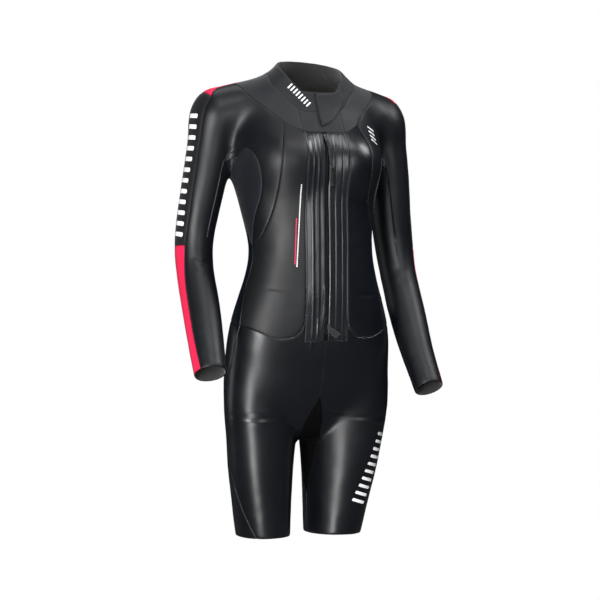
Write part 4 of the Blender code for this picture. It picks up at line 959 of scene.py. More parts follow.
# distances from a panel's edge, and along it
STITCH_FROM_EDGE = 0.0017
STITCH_HALF_WIDTH = 0.0005
STITCH_PITCH = 0.0030
STITCH_LENGTH = 0.62 * STITCH_PITCH
# painted shade in the seam's groove: the colour is near black up to the first distance from the edge, and
# the cloth's own from the second
SEAM_SHADE_FULL_WITHIN = 0.0004
SEAM_SHADE_ENDS_AT = 0.0014


def sewn_edge(tree, colour, thread):
    """Painted shade: the cloth's colour darkens to near black where it turns down into its seam, standing in
    for the shade in the seam's groove; and a row of stitches beside the seam. Returns the colour and how
    much of a thread lies at each place."""
    edge = node(tree, "Attribute", {}, attribute_name="edge")
    along = node(tree, "Attribute", {}, attribute_name="along")
    row = node(tree, "Math", {0: edge, 1: STITCH_FROM_EDGE, 2: STITCH_HALF_WIDTH}, operation="COMPARE")
    step = node(tree, "Math", {0: along, 1: STITCH_PITCH}, operation="MODULO")
    dash = node(tree, "Math", {0: step, 1: STITCH_LENGTH}, operation="LESS_THAN")
    stitch = node(tree, "Math", {0: row, 1: dash}, operation="MULTIPLY")
    out_of_seam_shade = node(tree, "MapRange", {0: edge, 1: SEAM_SHADE_FULL_WITHIN, 2: SEAM_SHADE_ENDS_AT, 3: 0.0, 4: 1.0})
    # painted shade: near black at the very edge, where the seam's groove is in shade
    shaded = node(tree, "Mix", {0: out_of_seam_shade, 6: linear("030304"), 7: colour}, data_type="RGBA")
    return node(tree, "Mix", {0: stitch, 6: shaded, 7: linear(thread)}, data_type="RGBA"), stitch


PRINTS = {
    # chart, side, start and end (chart places), bars, bar (m along the line), breadth (m), colour
    "sleeve": ("arm", -1, (15, -0.052), (11, -0.300), 12, 0.0085, 0.030, "f4f4f4"),
    "thigh": ("leg", 1, (46, -0.674), (74, -0.820), 10, 0.0060, 0.030, "f0f0f0"),
    "collar": ("front", -1, (0.058, -0.004), (0.020, -0.044), 8, 0.0030, 0.012, "f0f0f0"),
    "chest": ("front", 1, (0.113, -0.078), (0.110, -0.114), 4, 0.0046, 0.021, "f0f0f0"),
    "front_line": ("front", -1, (0.053, -0.198), (0.060, -0.355), 38, 0.0030, 0.0022, "e8e8e8"),
    "front_red": ("front", -1, (0.0595, -0.262), (0.0635, -0.350), 18, 0.0034, 0.0022, "e0284c"),
}
# a bar's corner radius as a share of its shorter side, the softness of its edge, and how far behind
# the middle of its line a bar still shows
PRINT_CORNER = 0.3
PRINT_BLUR = 0.0001
PRINT_DEPTH = 0.03


def print_mask(tree, name):
    """1 on a run of plain rounded bars, laid square across a line between two places on the form."""
    chart, side, start, end, count, bar, breadth, _ = PRINTS[name]
    first, last = PLACES[chart](side, *start), PLACES[chart](side, *end)
    length = float(np.linalg.norm(last - first))
    down = (last - first) / length
    out = outward((first + last) / 2)
    across = np.cross(out, down) / np.linalg.norm(np.cross(out, down))
    out = np.cross(down, across)
    pitch = length / count
    corner = PRINT_CORNER * min(bar, breadth)
    offset = node(tree, "VectorMath", {0: object_place(tree), 1: first}, operation="SUBTRACT")
    run, over, depth = (node(tree, "VectorMath", {0: offset, 1: axis}, operation="DOT_PRODUCT").node
                        .outputs["Value"] for axis in (down, across, out))
    in_bar = node(tree, "Math", {0: run, 1: pitch, 2: 0.0}, operation="WRAP")
    in_bar = node(tree, "Math", {0: in_bar, 1: pitch / 2}, operation="SUBTRACT")
    past = []
    for value, half in ((in_bar, bar / 2), (over, breadth / 2)):
        size = node(tree, "Math", {0: value}, operation="ABSOLUTE")
        beyond = node(tree, "Math", {0: size, 1: half - corner}, operation="SUBTRACT")
        past.append(node(tree, "Math", {0: beyond, 1: 0.0}, operation="MAXIMUM"))
    reach = node(tree, "CombineXYZ", {0: past[0], 1: past[1]})
    reach = node(tree, "VectorMath", {0: reach}, operation="LENGTH").node.outputs["Value"]
    ink = node(tree, "MapRange", {0: reach, 1: corner - PRINT_BLUR, 2: corner + PRINT_BLUR,
                                  3: 1.0, 4: 0.0})
    whole = node(tree, "Math", {0: run, 1: length / 2, 2: length / 2}, operation="COMPARE")
    near = node(tree, "Math", {0: depth, 1: -PRINT_DEPTH}, operation="GREATER_THAN")
    ink = node(tree, "Math", {0: ink, 1: whole}, operation="MULTIPLY")
    return node(tree, "Math", {0: ink, 1: near}, operation="MULTIPLY")


def dressed(made, tree, shader, colour, thread, roughness, grain, grain_depth, prints):
    """Links a cloth's colour, its seams (stitches and painted seam shade) and prints, its uneven gloss and
    its grain to its shader.
    """
    colour, stitch = sewn_edge(tree, colour, thread)
    ink = 0.0
    for name in prints:
        mask = print_mask(tree, name)
        colour = node(tree, "Mix", {0: mask, 6: colour, 7: linear(PRINTS[name][-1])}, data_type="RGBA")
        ink = node(tree, "Math", {0: mask, 1: ink}, operation="MAXIMUM")
    tree.links.new(colour, shader.inputs["Base Color"])
    worn = node(tree, "TexNoise", {0: object_place(tree), 2: 9.0, 3: 3.0})
    low, high = roughness
    gloss = node(tree, "MapRange", {0: worn, 1: 0.35, 2: 0.65, 3: low, 4: high})
    gloss = node(tree, "Mix", {0: ink, 2: gloss, 3: 0.5}, data_type="FLOAT") if prints else gloss
    tree.links.new(gloss, shader.inputs["Roughness"])
    fine = node(tree, "Bump", {0: 0.6, 1: grain_depth, "Height": grain})
    sewn = node(tree, "Bump", {0: 0.7, 1: 0.0004, "Height": stitch, "Normal": fine})
    tree.links.new(sewn, shader.inputs["Normal"])
    return made


def knitted_neoprene(name, dark, light, thread, sheen=0.15, prints=(), gloss=0.30):
    """Jersey bonded to foam rubber: knitted loops, drawn 1.3 mm wide so that they show, give a matt,
    slightly grainy face, and the fine fuzz of the yarn pales it at glancing angles."""
    made, tree, shader = finish(name, 0.6, IOR=1.5, Specular_IOR_Level=gloss, Sheen_Weight=sheen,
                                Sheen_Roughness=0.4)
    loops = node(tree, "TexVoronoi", {0: object_place(tree), 2: 770.0})
    cloudy = node(tree, "TexNoise", {0: object_place(tree), 2: 22.0, 3: 4.0})
    colour = node(tree, "Mix", {0: cloudy, 6: linear(dark), 7: linear(light)}, data_type="RGBA")
    return dressed(made, tree, shader, colour, thread, (0.55, 0.68), loops, 0.0003, prints)


def smooth_skin(name, dark, light, thread, roughness=(0.30, 0.37), prints=(), gloss=0.5):
    """Smooth-skin neoprene: foam rubber with its sealed, pressed face outward. It is nearly black, its
    broad soft highlights have clean edges, and pores about 2 mm apart ripple them faintly."""
    made, tree, shader = finish(name, 0.35, IOR=1.5, Specular_IOR_Level=gloss)
    pores = node(tree, "TexNoise", {0: object_place(tree), 2: 480.0, 3: 2.0})
    cloudy = node(tree, "TexNoise", {0: object_place(tree), 2: 12.0, 3: 3.0})
    colour = node(tree, "Mix", {0: cloudy, 6: linear(dark), 7: linear(light)}, data_type="RGBA")
    return dressed(made, tree, shader, colour, thread, roughness, pores, 0.00012, prints)


def lining(name, dark, light):
    """The jersey on the inside of the suit: matt and soft, with loops drawn 1.6 mm wide."""
    made, tree, shader = finish(name, 0.8, IOR=1.5, Specular_IOR_Level=0.2, Sheen_Weight=0.3,
                                Sheen_Roughness=0.5)
    loops = node(tree, "TexVoronoi", {0: object_place(tree), 2: 620.0})
    colour = node(tree, "Mix", {0: loops, 6: linear(light), 7: linear(dark)}, data_type="RGBA")
    tree.links.new(colour, shader.inputs["Base Color"])
    tree.links.new(node(tree, "Bump", {0: 0.6, 1: 0.0004, "Height": loops}), shader.inputs["Normal"])
    return made


def moulded_plastic(name, dark, light, roughness):
    """Injection-moulded acetal: dark, even and slightly shiny, with the mould's fine spark texture."""
    made, tree, shader = finish(name, roughness, IOR=1.48)
    spark = node(tree, "TexNoise", {0: object_place(tree), 2: 1800.0, 3: 2.0})
    colour = node(tree, "Mix", {0: spark, 6: linear(dark), 7: linear(light)}, data_type="RGBA")
    tree.links.new(colour, shader.inputs["Base Color"])
    tree.links.new(node(tree, "Bump", {0: 0.4, 1: 0.0001, "Height": spark}), shader.inputs["Normal"])
    return made


def enamelled_metal(name, dark, light):
    """Die-cast zinc under black enamel: smooth and shiny, rubbed a little paler in patches."""
    made, tree, shader = finish(name, 0.28, IOR=1.5, Coat_Weight=0.4, Coat_Roughness=0.15)
    rubbed = node(tree, "TexNoise", {0: object_place(tree), 2: 420.0, 3: 3.0})
    share = node(tree, "MapRange", {0: rubbed, 1: 0.55, 2: 0.75, 3: 0.0, 4: 1.0})
    colour = node(tree, "Mix", {0: share, 6: linear(dark), 7: linear(light)}, data_type="RGBA")
    tree.links.new(colour, shader.inputs["Base Color"])
    tree.links.new(node(tree, "Bump", {0: 0.3, 1: 0.0001, "Height": rubbed}), shader.inputs["Normal"])
    return made


def woven_tape(name, dark, light):
    """Polyester webbing: slanting ribs about 1.4 mm apart, with a dull sheen."""
    made, tree, shader = finish(name, 0.6, IOR=1.5, Specular_IOR_Level=0.3, Sheen_Weight=0.2)
    weave = node(tree, "TexWave", {0: object_place(tree), 1: 260.0, 2: 2.0, 3: 1.0},
                 bands_direction="DIAGONAL")
    colour = node(tree, "Mix", {0: weave, 6: linear(dark), 7: linear(light)}, data_type="RGBA")
    tree.links.new(colour, shader.inputs["Base Color"])
    tree.links.new(node(tree, "Bump", {0: 0.8, 1: 0.0003, "Height": weave}), shader.inputs["Normal"])
    return made


YOKE_KNIT = knitted_neoprene("charcoal_jersey_neoprene", "14171a", "1b1e21", "2c2f33", 0.22)
COLLAR_KNIT = knitted_neoprene("collar_jersey_neoprene", "0f1215", "14181b", "262a2e", 0.20)
PRINTED_COLLAR = knitted_neoprene("printed_collar_jersey", "0f1215", "14181b", "262a2e", 0.20, ("collar",))
SIDE_KNIT = knitted_neoprene("black_side_jersey", "0b0e13", "11151c", "26282c", 0.12)
# painted shade: the gusset's black jersey is taken darker than the other black cloth, to stand for the shade
# between the thighs; the zip's sunk tape uses it too
SHADE_DARKENED_GUSSET_KNIT = knitted_neoprene("black_gusset_jersey", "020203", "040405", "0d0e10", 0.0, gloss=0.10)
STRIP_KNIT = knitted_neoprene("black_strip_jersey", "0b0b0d", "101113", "1c1d20", 0.10)
PRINTED_STRIP = knitted_neoprene("printed_strip_jersey", "0b0b0d", "101113", "1c1d20", 0.10, ("sleeve",))
CRIMSON_KNIT = knitted_neoprene("crimson_jersey_neoprene", "dc1444", "ea1c4e", "9c0c2c", 0.04)
SKIN = smooth_skin("smooth_skin_neoprene", "040609", "080b10", "101114")
SKIN_CHEST = smooth_skin("sleeve_skin_with_chest_bars", "05070a", "090c11", "141518", (0.42, 0.50),
                         ("chest",), 0.38)
SKIN_THIGH = smooth_skin("smooth_skin_with_thigh_bars", "040609", "080b10", "101114", prints=("thigh",))
# painted light: the wearer's right front half has a paler base than the same smooth skin on the left half,
# so that the side toward the tall key looks lit
LIT_SIDE_SKIN_FRONT = smooth_skin("smooth_skin_with_front_line", "0c0d0f", "121315", "101114", (0.44, 0.52),
                         ("front_line", "front_red"), 0.34)
SLEEVE_SKIN = smooth_skin("sleeve_skin_neoprene", "05070a", "090c11", "141518", (0.42, 0.50), gloss=0.38)
BAND_SKIN = smooth_skin("zip_band_skin", "0f1215", "181b1e", "36383c", (0.25, 0.33))
LINING = lining("grey_jersey_lining", "2b2a29", "3a3938")
TEETH = moulded_plastic("moulded_zip_teeth", "040405", "09090a", 0.35)
RUBBER = moulded_plastic("moulded_rubber_puller", "050506", "0a0a0c", 0.45)
ENAMEL = enamelled_metal("black_enamelled_zinc", "0c0d0f", "2a2b2e")
STRAP_WEB = woven_tape("black_woven_strap", "060607", "0c0d0e")
GREY_WEB = woven_tape("grey_woven_tape", "17191b", "232527")

# ---------------------------------------------------------------- panels

CUT = {
    # panel: width and length of the flat cut, and its area
    "collar_front": (0.160, 0.060, 0.0071), "collar_back": (0.185, 0.045, 0.0075),
    "zip_guard": (0.088, 0.052, 0.0043), "front": (0.125, 0.420, 0.036), "zip_band": (0.044, 0.405, 0.0174),
    "yoke": (0.150, 0.115, 0.0080), "sleeve_front_right": (0.300, 0.620, 0.0685),
    "sleeve_front_left": (0.300, 0.655, 0.072), "side": (0.130, 0.200, 0.0170),
    "sleeve_back_right": (0.270, 0.640, 0.0687), "sleeve_back_left": (0.270, 0.675, 0.0724),
    "strip_fore_right": (0.040, 0.265, 0.0091), "strip_fore_left": (0.040, 0.300, 0.0102),
    "strip_upper": (0.056, 0.300, 0.0150), "strip_shoulder": (0.052, 0.135, 0.0053),
    "back": (0.420, 0.520, 0.1450), "shorts_front": (0.250, 0.480, 0.079),
    "shorts_back": (0.280, 0.470, 0.0980), "gusset": (0.120, 0.360, 0.0230),
    "collar_flap": (0.066, 0.072, 0.0037), "end_tab": (0.018, 0.026, 0.00045),
}

PANEL_FINISH = {
    "collar_front": (COLLAR_KNIT, "soft_cloth"), "collar_back": (COLLAR_KNIT, "soft_cloth"),
    "collar_front_right": (PRINTED_COLLAR, "soft_cloth"),
    "zip_guard": (COLLAR_KNIT, "soft_cloth"), "yoke": (YOKE_KNIT, "soft_cloth"),
    "front": (SKIN, "smooth_skin"), "front_right": (LIT_SIDE_SKIN_FRONT, "smooth_skin"),
    "zip_band": (BAND_SKIN, "smooth_skin"), "zip_chain": (SHADE_DARKENED_GUSSET_KNIT, "zip_teeth"),
    "sleeve_front": (SLEEVE_SKIN, "smooth_skin"), "sleeve_front_left": (SKIN_CHEST, "smooth_skin"),
    "sleeve_back": (SLEEVE_SKIN, "smooth_skin"), "back": (SKIN, "smooth_skin"),
    "shorts_front": (SKIN, "smooth_skin"), "shorts_front_left": (SKIN_THIGH, "smooth_skin"),
    "shorts_back": (SKIN, "smooth_skin"),
    "side": (SIDE_KNIT, "black_cloth"), "gusset": (SHADE_DARKENED_GUSSET_KNIT, "black_cloth"),
    "strip_upper": (STRIP_KNIT, "black_cloth"), "strip_upper_right": (PRINTED_STRIP, "black_cloth"),
    "strip_fore": (CRIMSON_KNIT, "red_cloth"), "strip_shoulder": (CRIMSON_KNIT, "red_cloth"),
}


def stands_for(made, part, body, slot):
    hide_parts(part)
    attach(made, body)


def sewn_in(made, part, slot):
    """Puts a piece of cloth of the suit in place of its solid panel, on the suit's body; the size it was cut
    to is looked up but not used.
    """
    panel = part if part in CUT else part.rsplit("_", 1)[0]
    width, length, area = CUT[panel]
    stands_for(made, part, "suit", slot)


RELIEF = {"zip_band": ribs}


def build_cloth():
    """One piece for each solid panel, on the same form and between the same seams."""
    nets = {}
    for side in SIDE_NAMES:
        corners, seams = seam_points(side)
        nets[side] = corners, seams, {name: fine_seam(name, line) for name, line in seams.items()}
    for name, (wall, patches) in PANELS.items():
        groups = [(name, (-1, 1))] if name in ACROSS else [
            (f"{name}_{SIDE_NAMES[side]}", (side,)) for side in SIDE_NAMES]
        for part, sides in groups:
            grids = [fine_patch(p, *nets[side]) for side in sides for p in patches]
            material, slot = PANEL_FINISH.get(part) or PANEL_FINISH[name]
            if name == "zip_chain":
                build_zip_chain(grids, wall, material, nets[1][1]["zip_line"])
            else:
                made = shell(part + "_cloth", grids, wall, material, RELIEF.get(name))
                sewn_in(made, part, slot)


FLAP_CORNERS = {"tip": (-0.002, -0.086), "low": (0.0525, -0.026), "rim": (0.050, -0.006),
                "edge": (-0.009, -0.0190)}
FLAP_SEAMS = {
    "flap_round": ("tip", [(0.010, -0.082), (0.022, -0.074), (0.039, -0.056), (0.049, -0.042)], "low", 8),
    "flap_side": ("low", [], "rim", 5),
    "flap_rim": ("edge", [(0.012, -0.0185), (0.030, -0.0175), (0.042, -0.012)], "rim", 8),
    "flap_edge": ("tip", [(-0.0055, -0.070), (-0.0050, -0.050)], "edge", 5),
}
FLAP_CLEARANCE = 0.0005
FLAP_WALL = 0.0020
FLAP_LOOSE_TIP = (0.002, -0.080)
FLAP_LOOSE_BY = 0.0022
FLAP_LOOSE_REACH = 0.050
TAB_CORNERS = {"a": (0.0035, -0.478), "b": (0.020, -0.491), "c": (0.029, -0.481), "d": (0.001, -0.464)}
TAB_SEAMS = {"tab_a": ("a", [], "b", 4), "tab_b": ("b", [], "c", 3), "tab_c": ("d", [], "c", 4),
             "tab_d": ("a", [], "d", 3)}
TAB_CLEARANCE = 0.0014
TAB_WALL = 0.0014


def lying_patch(corners, seams, sides):
    """A patch on the front of the body, between seams given as (x, z) places."""
    at = {name: on_front(1, *xz) for name, xz in corners.items()}
    lines = {}
    for name, (start, between, end, count) in seams.items():
        stops = [at[start], *(on_front(1, *xz) for xz in between), at[end]]
        lines[name] = settle(even_points(np.array(stops), count))
        lines[name][0], lines[name][-1] = at[start], at[end]
    return patch(sides, at, lines)


def flap_lift(points):
    """The flap lies loose: its tip and its lower edge stand off the collar and throw a shadow."""
    away = np.linalg.norm(points - on_front(1, *FLAP_LOOSE_TIP), axis=1)
    return FLAP_CLEARANCE + FLAP_WALL + FLAP_LOOSE_BY * np.clip(1 - away / FLAP_LOOSE_REACH, 0, 1)


def tab_lift(points):
    return np.full(len(points), TAB_CLEARANCE + TAB_WALL)


def doubled(grid):
    """A grid with four faces for each of its faces, on the form."""
    for _ in range(2):
        fine = np.empty((2 * len(grid) - 1, *grid.shape[1:]))
        fine[::2] = grid
        fine[1::2] = (grid[1:] + grid[:-1]) / 2
        grid = fine.transpose(1, 0, 2)
    return settle(grid, 2)


def build_lying_pieces():
    """The flap over the top of the zip, and the tab at its foot."""
    flap = lying_patch(FLAP_CORNERS, FLAP_SEAMS, ("flap_round", "flap_side", "flap_rim", "flap_edge"))
    made = shell("collar_flap_cloth", [doubled(flap)], FLAP_WALL, COLLAR_KNIT, flap_lift)
    sewn_in(made, "collar_flap", "soft_cloth")
    tab = lying_patch(TAB_CORNERS, TAB_SEAMS, ("tab_a", "tab_b", "tab_c", "tab_d"))
    made = shell("end_tab_cloth", [doubled(tab)], TAB_WALL, GREY_WEB, tab_lift)
    sewn_in(made, "end_tab", "grey_web")


# ---------------------------------------------------------------- zip

TOOTH_PITCH = 0.0027
TOOTH_SIZE = (0.0031, 0.0013, 0.0018)
TOOTH_BEVEL = 0.0003
TOOTH_SINK = 0.0010
TOOTH_OFF_CENTRE = 0.0011
# half pitches at the ends of the chain that hold no tooth: under the slider, and under the grey tab
HALF_PITCHES_FREE = {"top": 6, "foot": 9}
TAPE_SUNK = 0.0011
ACROSS_ZIP = np.array((1.0, 0.0, 0.0))


def add_shaped_cube(name, size, bevel, segments, material):
    """A box with rounded edges at the origin."""
    bpy.ops.mesh.primitive_cube_add(size=1.0, location=(0, 0, 0))
    made = bpy.context.object
    made.name = name
    bpy.ops.object.mode_set(mode="EDIT")
    bpy.ops.mesh.select_all(action="SELECT")
    bpy.ops.transform.resize(value=size)
    bpy.ops.mesh.bevel(offset=bevel, segments=segments, affect="EDGES")
    bpy.ops.object.mode_set(mode="OBJECT")
    made.data.materials.append(material)
    return made


def standing_at(place, across, up, out):
    """The matrix that puts a piece drawn along X, Y and Z at a place, along three directions."""
    turned = Matrix([(*row, 0) for row in np.column_stack([across, up, out])] + [(0, 0, 0, 1)])
    return Matrix.Translation(Vector(place)) @ turned


def sunk(points):
    return np.full(len(points), -TAPE_SUNK)


def build_zip_chain(grids, wall, material, zip_line):
    """The chain: a narrow tape that lies lower than the bands, and its two rows of meshing teeth."""
    tape = shell("zip_chain_tape", grids, wall, material, sunk)
    count = int(np.linalg.norm(np.diff(zip_line, axis=0), axis=1).sum() / TOOTH_PITCH)
    line = settle(even_points(zip_line, 2 * count), 3)
    tooth = add_shaped_cube("zip_tooth", TOOTH_SIZE, TOOTH_BEVEL, 1, TEETH)
    outs = outward(line) * np.array((0.0, 1.0, 1.0))
    copies = []
    for i in range(HALF_PITCHES_FREE["top"], len(line) - HALF_PITCHES_FREE["foot"]):
        out = outs[i] / np.linalg.norm(outs[i])
        up = line[i] - line[i + 1]
        up /= np.linalg.norm(up)
        side = 1 if i % 2 else -1
        place = line[i] - TOOTH_SINK * out + np.array((side * TOOTH_OFF_CENTRE, 0, 0))
        copy = tooth.copy()
        copy.data = tooth.data.copy()
        bpy.context.collection.objects.link(copy)
        copy.data.transform(standing_at(place, ACROSS_ZIP, up, out))
        copies.append(copy)
    bpy.data.objects.remove(tooth)
    bpy.ops.object.select_all(action="DESELECT")
    for copy in copies:
        copy.select_set(True)
    tape.select_set(True)
    bpy.context.view_layer.objects.active = tape
    bpy.ops.object.join()
    tape.name = "zip_chain_teeth"
    stands_for(tape, "zip_chain", "suit", "zip_teeth")
    bpy.ops.object.select_all(action="DESELECT")


# ---------------------------------------------------------------- slider and puller

SLIDER_Z = -0.1085
SLIDER_HALF_LENGTH = 0.0080
SLIDER_HALF_WIDTH = 0.0046
# the shield's underside and top above the chain
SLIDER_LOW = 0.0005
SLIDER_TOP = 0.0030
SLIDER_BEVEL = 0.0008
# the shield narrows from this share of its half length above its middle, by the second share at the foot
NARROWS_FROM = 0.3
NARROWS_BY = 0.34
# the puller's hinge above the slider's middle, and up along the zip
HINGE_ABOVE = 0.0048
HINGE_UP = 0.0035
BAIL_RADIUS = 0.0018
BAIL_WIRE = 0.0008
BAIL_STRETCH = (1.25, 1.0, 1.2)
BAIL_IN = 0.0010
RING_RADIUS = 0.0044
RING_WIRE = 0.0007
RING_STRETCH = (0.80, 1.30, 1.0)
RING_DOWN = 0.0050
RING_IN = 0.0002
ROD_SIDES = 20
ROD_ROUNDNESS = 0.55
GRIP_RIDGE = 0.0004
GRIP_RIDGE_PITCH = 0.0032
GRIP_RIDGES_FROM = 0.068
GRIP_RIDGES_TO = 0.093
PULLER_LINE = Sections("down x height", [
    # below the hinge, beside the zip, above the cloth
    (0.0120, 0.0006, 0.0046),
    (0.0150, 0.0010, 0.0044),
    (0.0350, 0.0035, 0.0036),
    (0.0600, 0.0062, 0.0036),
    (0.0640, 0.0066, 0.0038),
    (0.0720, 0.0073, 0.0040),
    (0.0860, 0.0085, 0.0040),
    (0.0960, 0.0094, 0.0040),
    (0.1000, 0.0097, 0.0038),
])
STRAP_ROWS = [
    # below the hinge, half width, half thickness
    (0.0093, 0.0018, 0.0006), (0.0098, 0.0022, 0.0010), (0.0150, 0.0024, 0.0011),
    (0.0350, 0.0025, 0.0011), (0.0580, 0.0026, 0.0011), (0.0630, 0.0026, 0.0011),
]
GRIP_ROWS = [
    # below the hinge, half width, half thickness
    (0.0600, 0.0030, 0.0013), (0.0606, 0.0038, 0.0019), (0.0640, 0.0046, 0.0023),
    (0.0720, 0.0055, 0.0024), (0.0840, 0.0058, 0.0024), (0.0950, 0.0052, 0.0022),
    (0.0985, 0.0042, 0.0018), (0.0995, 0.0032, 0.0011),
]


def slider_frame():
    """The slider's middle on the surface, and its out and up directions in the plane x = 0."""
    middle = on_front(1, 0.0, SLIDER_Z)
    out = outward(middle) * np.array((0, 1, 1))
    out /= np.linalg.norm(out)
    return middle, out, np.array((0, -out[2], out[1])) * (1 if out[1] > 0 else -1)


def hinge_place():
    middle, out, up = slider_frame()
    return middle + HINGE_ABOVE * out + HINGE_UP * up


def round_rod(name, rows, count, ridge, material):
    """A flat rounded rod that hangs from the slider over the front, through rows of sizes."""
    hinge = hinge_place()
    sizes = Sections("down half_width half_thick", rows)
    downs = np.linspace(rows[0][0], rows[-1][0], count)
    downs = np.sort(np.concatenate([downs, [row[0] for row in rows[1:-1]]]))
    turn = np.linspace(0, 2 * np.pi, ROD_SIDES, endpoint=False)
    wide = np.sign(np.cos(turn)) * np.abs(np.cos(turn)) ** ROD_ROUNDNESS
    thick = np.sign(np.sin(turn)) * np.abs(np.sin(turn)) ** ROD_ROUNDNESS
    points = []
    for down in downs:
        x, height = PULLER_LINE(np.array(down))
        half_width, half_thick = sizes(np.array(down))
        ridged = GRIP_RIDGES_FROM < down < GRIP_RIDGES_TO
        half_thick -= ridge * ridged * (0.5 + 0.5 * np.cos(2 * np.pi * down / GRIP_RIDGE_PITCH))
        surface = on_front(1, x, hinge[2] - down)
        away = outward(surface)
        centre = surface + height * away
        points.append(centre + np.outer(wide * half_width, ACROSS_ZIP) + np.outer(thick * half_thick, away))
    points = np.array(points)
    rings, sides = points.shape[:2]
    faces = [[i * sides + k, i * sides + (k + 1) % sides, (i + 1) * sides + (k + 1) % sides,
              (i + 1) * sides + k] for i in range(rings - 1) for k in range(sides)]
    faces += [list(range(sides))[::-1], list(range((rings - 1) * sides, rings * sides))]
    made = add_mesh(name, points.reshape(-1, 3), faces, material)
    facing_outward(made)
    return made


def wire_ring(name, radius, wire, stretch, round_steps, wire_steps):
    """A ring of enamelled wire round the origin, stretched along X, Y and Z."""
    bpy.ops.mesh.primitive_torus_add(location=(0, 0, 0), major_radius=radius, minor_radius=wire,
                                     major_segments=round_steps, minor_segments=wire_steps)
    made = bpy.context.object
    made.name = name
    bpy.ops.object.mode_set(mode="EDIT")
    bpy.ops.mesh.select_all(action="SELECT")
    bpy.ops.transform.resize(value=stretch)
    bpy.ops.object.mode_set(mode="OBJECT")
    made.data.materials.append(ENAMEL)
    return made


def facing_outward(made):
    bpy.ops.object.select_all(action="DESELECT")
    bpy.context.view_layer.objects.active = made
    made.select_set(True)
    bpy.ops.object.mode_set(mode="EDIT")
    bpy.ops.mesh.select_all(action="SELECT")
    bpy.ops.mesh.normals_make_consistent(inside=False)
    bpy.ops.object.mode_set(mode="OBJECT")
    bpy.ops.object.shade_smooth_by_angle(angle=np.radians(40))
    made.select_set(False)


def build_slider():
    """The slider's upper shield, narrower at its foot, and the bail for the puller's ring."""
    middle, out, up = slider_frame()
    size = (2 * SLIDER_HALF_WIDTH, 2 * SLIDER_HALF_LENGTH, SLIDER_TOP - SLIDER_LOW)
    shield = add_shaped_cube("slider_shield", size, SLIDER_BEVEL, 3, ENAMEL)
    for vertex in shield.data.vertices:
        below = np.clip(NARROWS_FROM - vertex.co.y / SLIDER_HALF_LENGTH, 0, 1 + NARROWS_FROM)
        vertex.co.x *= 1 - NARROWS_BY * below / (1 + NARROWS_FROM)
    centre = middle + (SLIDER_TOP + SLIDER_LOW) / 2 * out
    shield.data.transform(standing_at(centre, ACROSS_ZIP, up, out))
    bail = wire_ring("slider_bail", BAIL_RADIUS, BAIL_WIRE, BAIL_STRETCH, 28, 10)
    bail.data.transform(standing_at(hinge_place() - BAIL_IN * out, up, out, ACROSS_ZIP))
    for piece in (shield, bail):
        facing_outward(piece)
        stands_for(piece, "zip_slider", "suit", "zip_metal")


def build_puller():
    """The ring through the bail, the woven strap and the ridged grip."""
    _, out, up = slider_frame()
    ring = wire_ring("puller_ring", RING_RADIUS, RING_WIRE, RING_STRETCH, 40, 12)
    ring_place = hinge_place() - RING_DOWN * up - RING_IN * out
    ring.data.transform(standing_at(ring_place, ACROSS_ZIP, up, out))
    facing_outward(ring)
    strap = round_rod("puller_strap", STRAP_ROWS, 26, 0.0, STRAP_WEB)
    grip = round_rod("puller_grip", GRIP_ROWS, 60, GRIP_RIDGE, RUBBER)
    for piece in (ring, strap, grip):
        stands_for(piece, "puller", "puller", "puller_rubber")


# ---------------------------------------------------------------- studio

VIEW_TURN = np.radians(22.0)
VIEW_DISTANCE = 3.3
VIEW_HEIGHT = -0.417
VIEW_END = 60.0
VIEW_SHIFT = -0.005
LENS_MM = 100.5
SENSOR_MM = 36.0
FLOOR_Z = -1.20
FLOOR_SIZE = 24.0
FLOOR_GREY = "59595b"
SKY_BLUE = "8ca4e0"
SKY_STRENGTH = 0.06


def add_camera():
    data = bpy.data.cameras.new("camera")
    data.lens = LENS_MM
    data.sensor_width = SENSOR_MM
    data.shift_x = VIEW_SHIFT
    data.clip_end = VIEW_END
    camera = bpy.data.objects.new("camera", data)
    bpy.context.collection.objects.link(camera)
    camera.location = (-VIEW_DISTANCE * np.sin(VIEW_TURN), -VIEW_DISTANCE * np.cos(VIEW_TURN), VIEW_HEIGHT)
    camera.rotation_euler = (np.radians(90.0), 0.0, -VIEW_TURN)
    bpy.context.scene.camera = camera


LIGHTS = [
    # name, degrees round from the front (- is the wearer's right), distance, height, width, length, watts
    ("tall_key", -42, 3.3, -0.30, 0.80, 2.3, 140),
    ("front_strip", 2, 3.4, 0.20, 0.42, 1.4, 26),
    ("over_camera", 2, 1.8, 2.20, 1.8, 1.0, 38),
    ("over_right", 60, 2.3, 1.65, 0.8, 0.9, 44),
    ("overhead", 170, 0.8, 2.60, 2.0, 1.4, 22),
    ("rim_right", -130, 3.2, -0.2, 0.7, 2.2, 10),
    ("rim_left", 152, 3.2, -0.2, 0.7, 2.2, 5),
]
# a strip that lies on the floor in line with the tall key: degrees, distance, width, length, watts
FLOOR_STRIP = (-40, 1.15, 0.30, 0.90, 12)
STRIP_ABOVE_FLOOR = 0.004


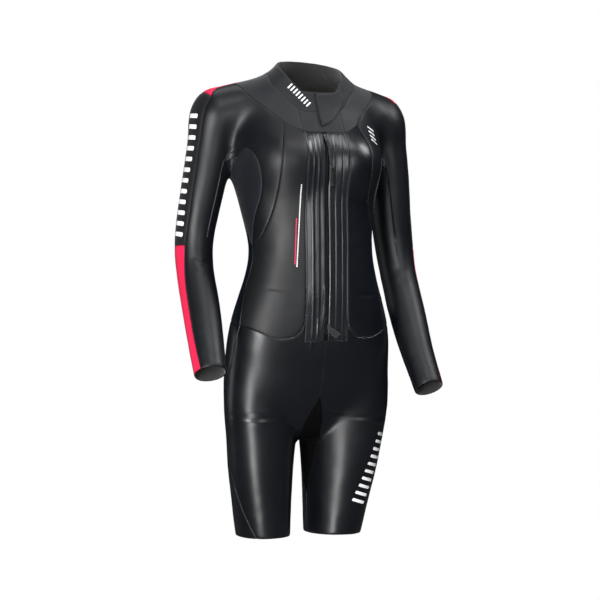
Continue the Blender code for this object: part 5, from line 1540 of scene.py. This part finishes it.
def area_light(name, place, turned, width, length, watts):
    data = bpy.data.lights.new(name, "AREA")
    data.shape = "RECTANGLE"
    data.size, data.size_y = width, length
    data.energy = watts
    light = bpy.data.objects.new(name, data)
    bpy.context.collection.objects.link(light)
    light.location = place
    light.rotation_euler = turned
    return light


def add_lights():
    for name, degrees, distance, height, width, length, watts in LIGHTS:
        turn = np.radians(degrees)
        place = Vector((distance * np.sin(turn), -distance * np.cos(turn), height))
        turned = (Vector((0, 0, VIEW_HEIGHT)) - place).to_track_quat("-Z", "Y").to_euler()
        area_light(name, place, turned, width, length, watts)
    degrees, distance, width, length, watts = FLOOR_STRIP
    turn = np.radians(degrees)
    place = (distance * np.sin(turn), -distance * np.cos(turn), FLOOR_Z + STRIP_ABOVE_FLOOR)
    strip = area_light("floor_strip", place, (np.pi, 0, turn), width, length, watts)
    strip.visible_camera = False


def seen_as_white(tree, output, other):
    """What the camera sees straight is plain white; to the light it is the other shader."""
    white = node(tree, "Emission", {0: linear("ffffff"), 1: 1.0})
    straight = tree.nodes.new("ShaderNodeLightPath").outputs["Is Camera Ray"]
    tree.links.new(node(tree, "MixShader", {0: straight, 1: other, 2: white}), output)


def add_studio():
    bpy.ops.mesh.primitive_plane_add(size=FLOOR_SIZE, location=(0, 0, FLOOR_Z))
    floor = bpy.context.object
    floor.name = "floor"
    made, tree, shader = finish("pale_floor", 0.9, Base_Color=linear(FLOOR_GREY))
    seen_as_white(tree, tree.nodes["Material Output"].inputs["Surface"], shader.outputs[0])
    floor.data.materials.append(made)
    world = bpy.data.worlds.new("studio")
    bpy.context.scene.world = world
    world.use_nodes = True
    tree = world.node_tree
    sky = tree.nodes["Background"]
    sky.inputs["Color"].default_value = linear(SKY_BLUE)
    sky.inputs["Strength"].default_value = SKY_STRENGTH
    seen_as_white(tree, tree.nodes["World Output"].inputs["Surface"], sky.outputs[0])
    add_lights()
    bpy.context.scene.view_settings.view_transform = "Standard"


bpy.ops.object.select_all(action="DESELECT")
build_cloth()
build_lying_pieces()
build_slider()
build_puller()
add_camera()
add_studio()
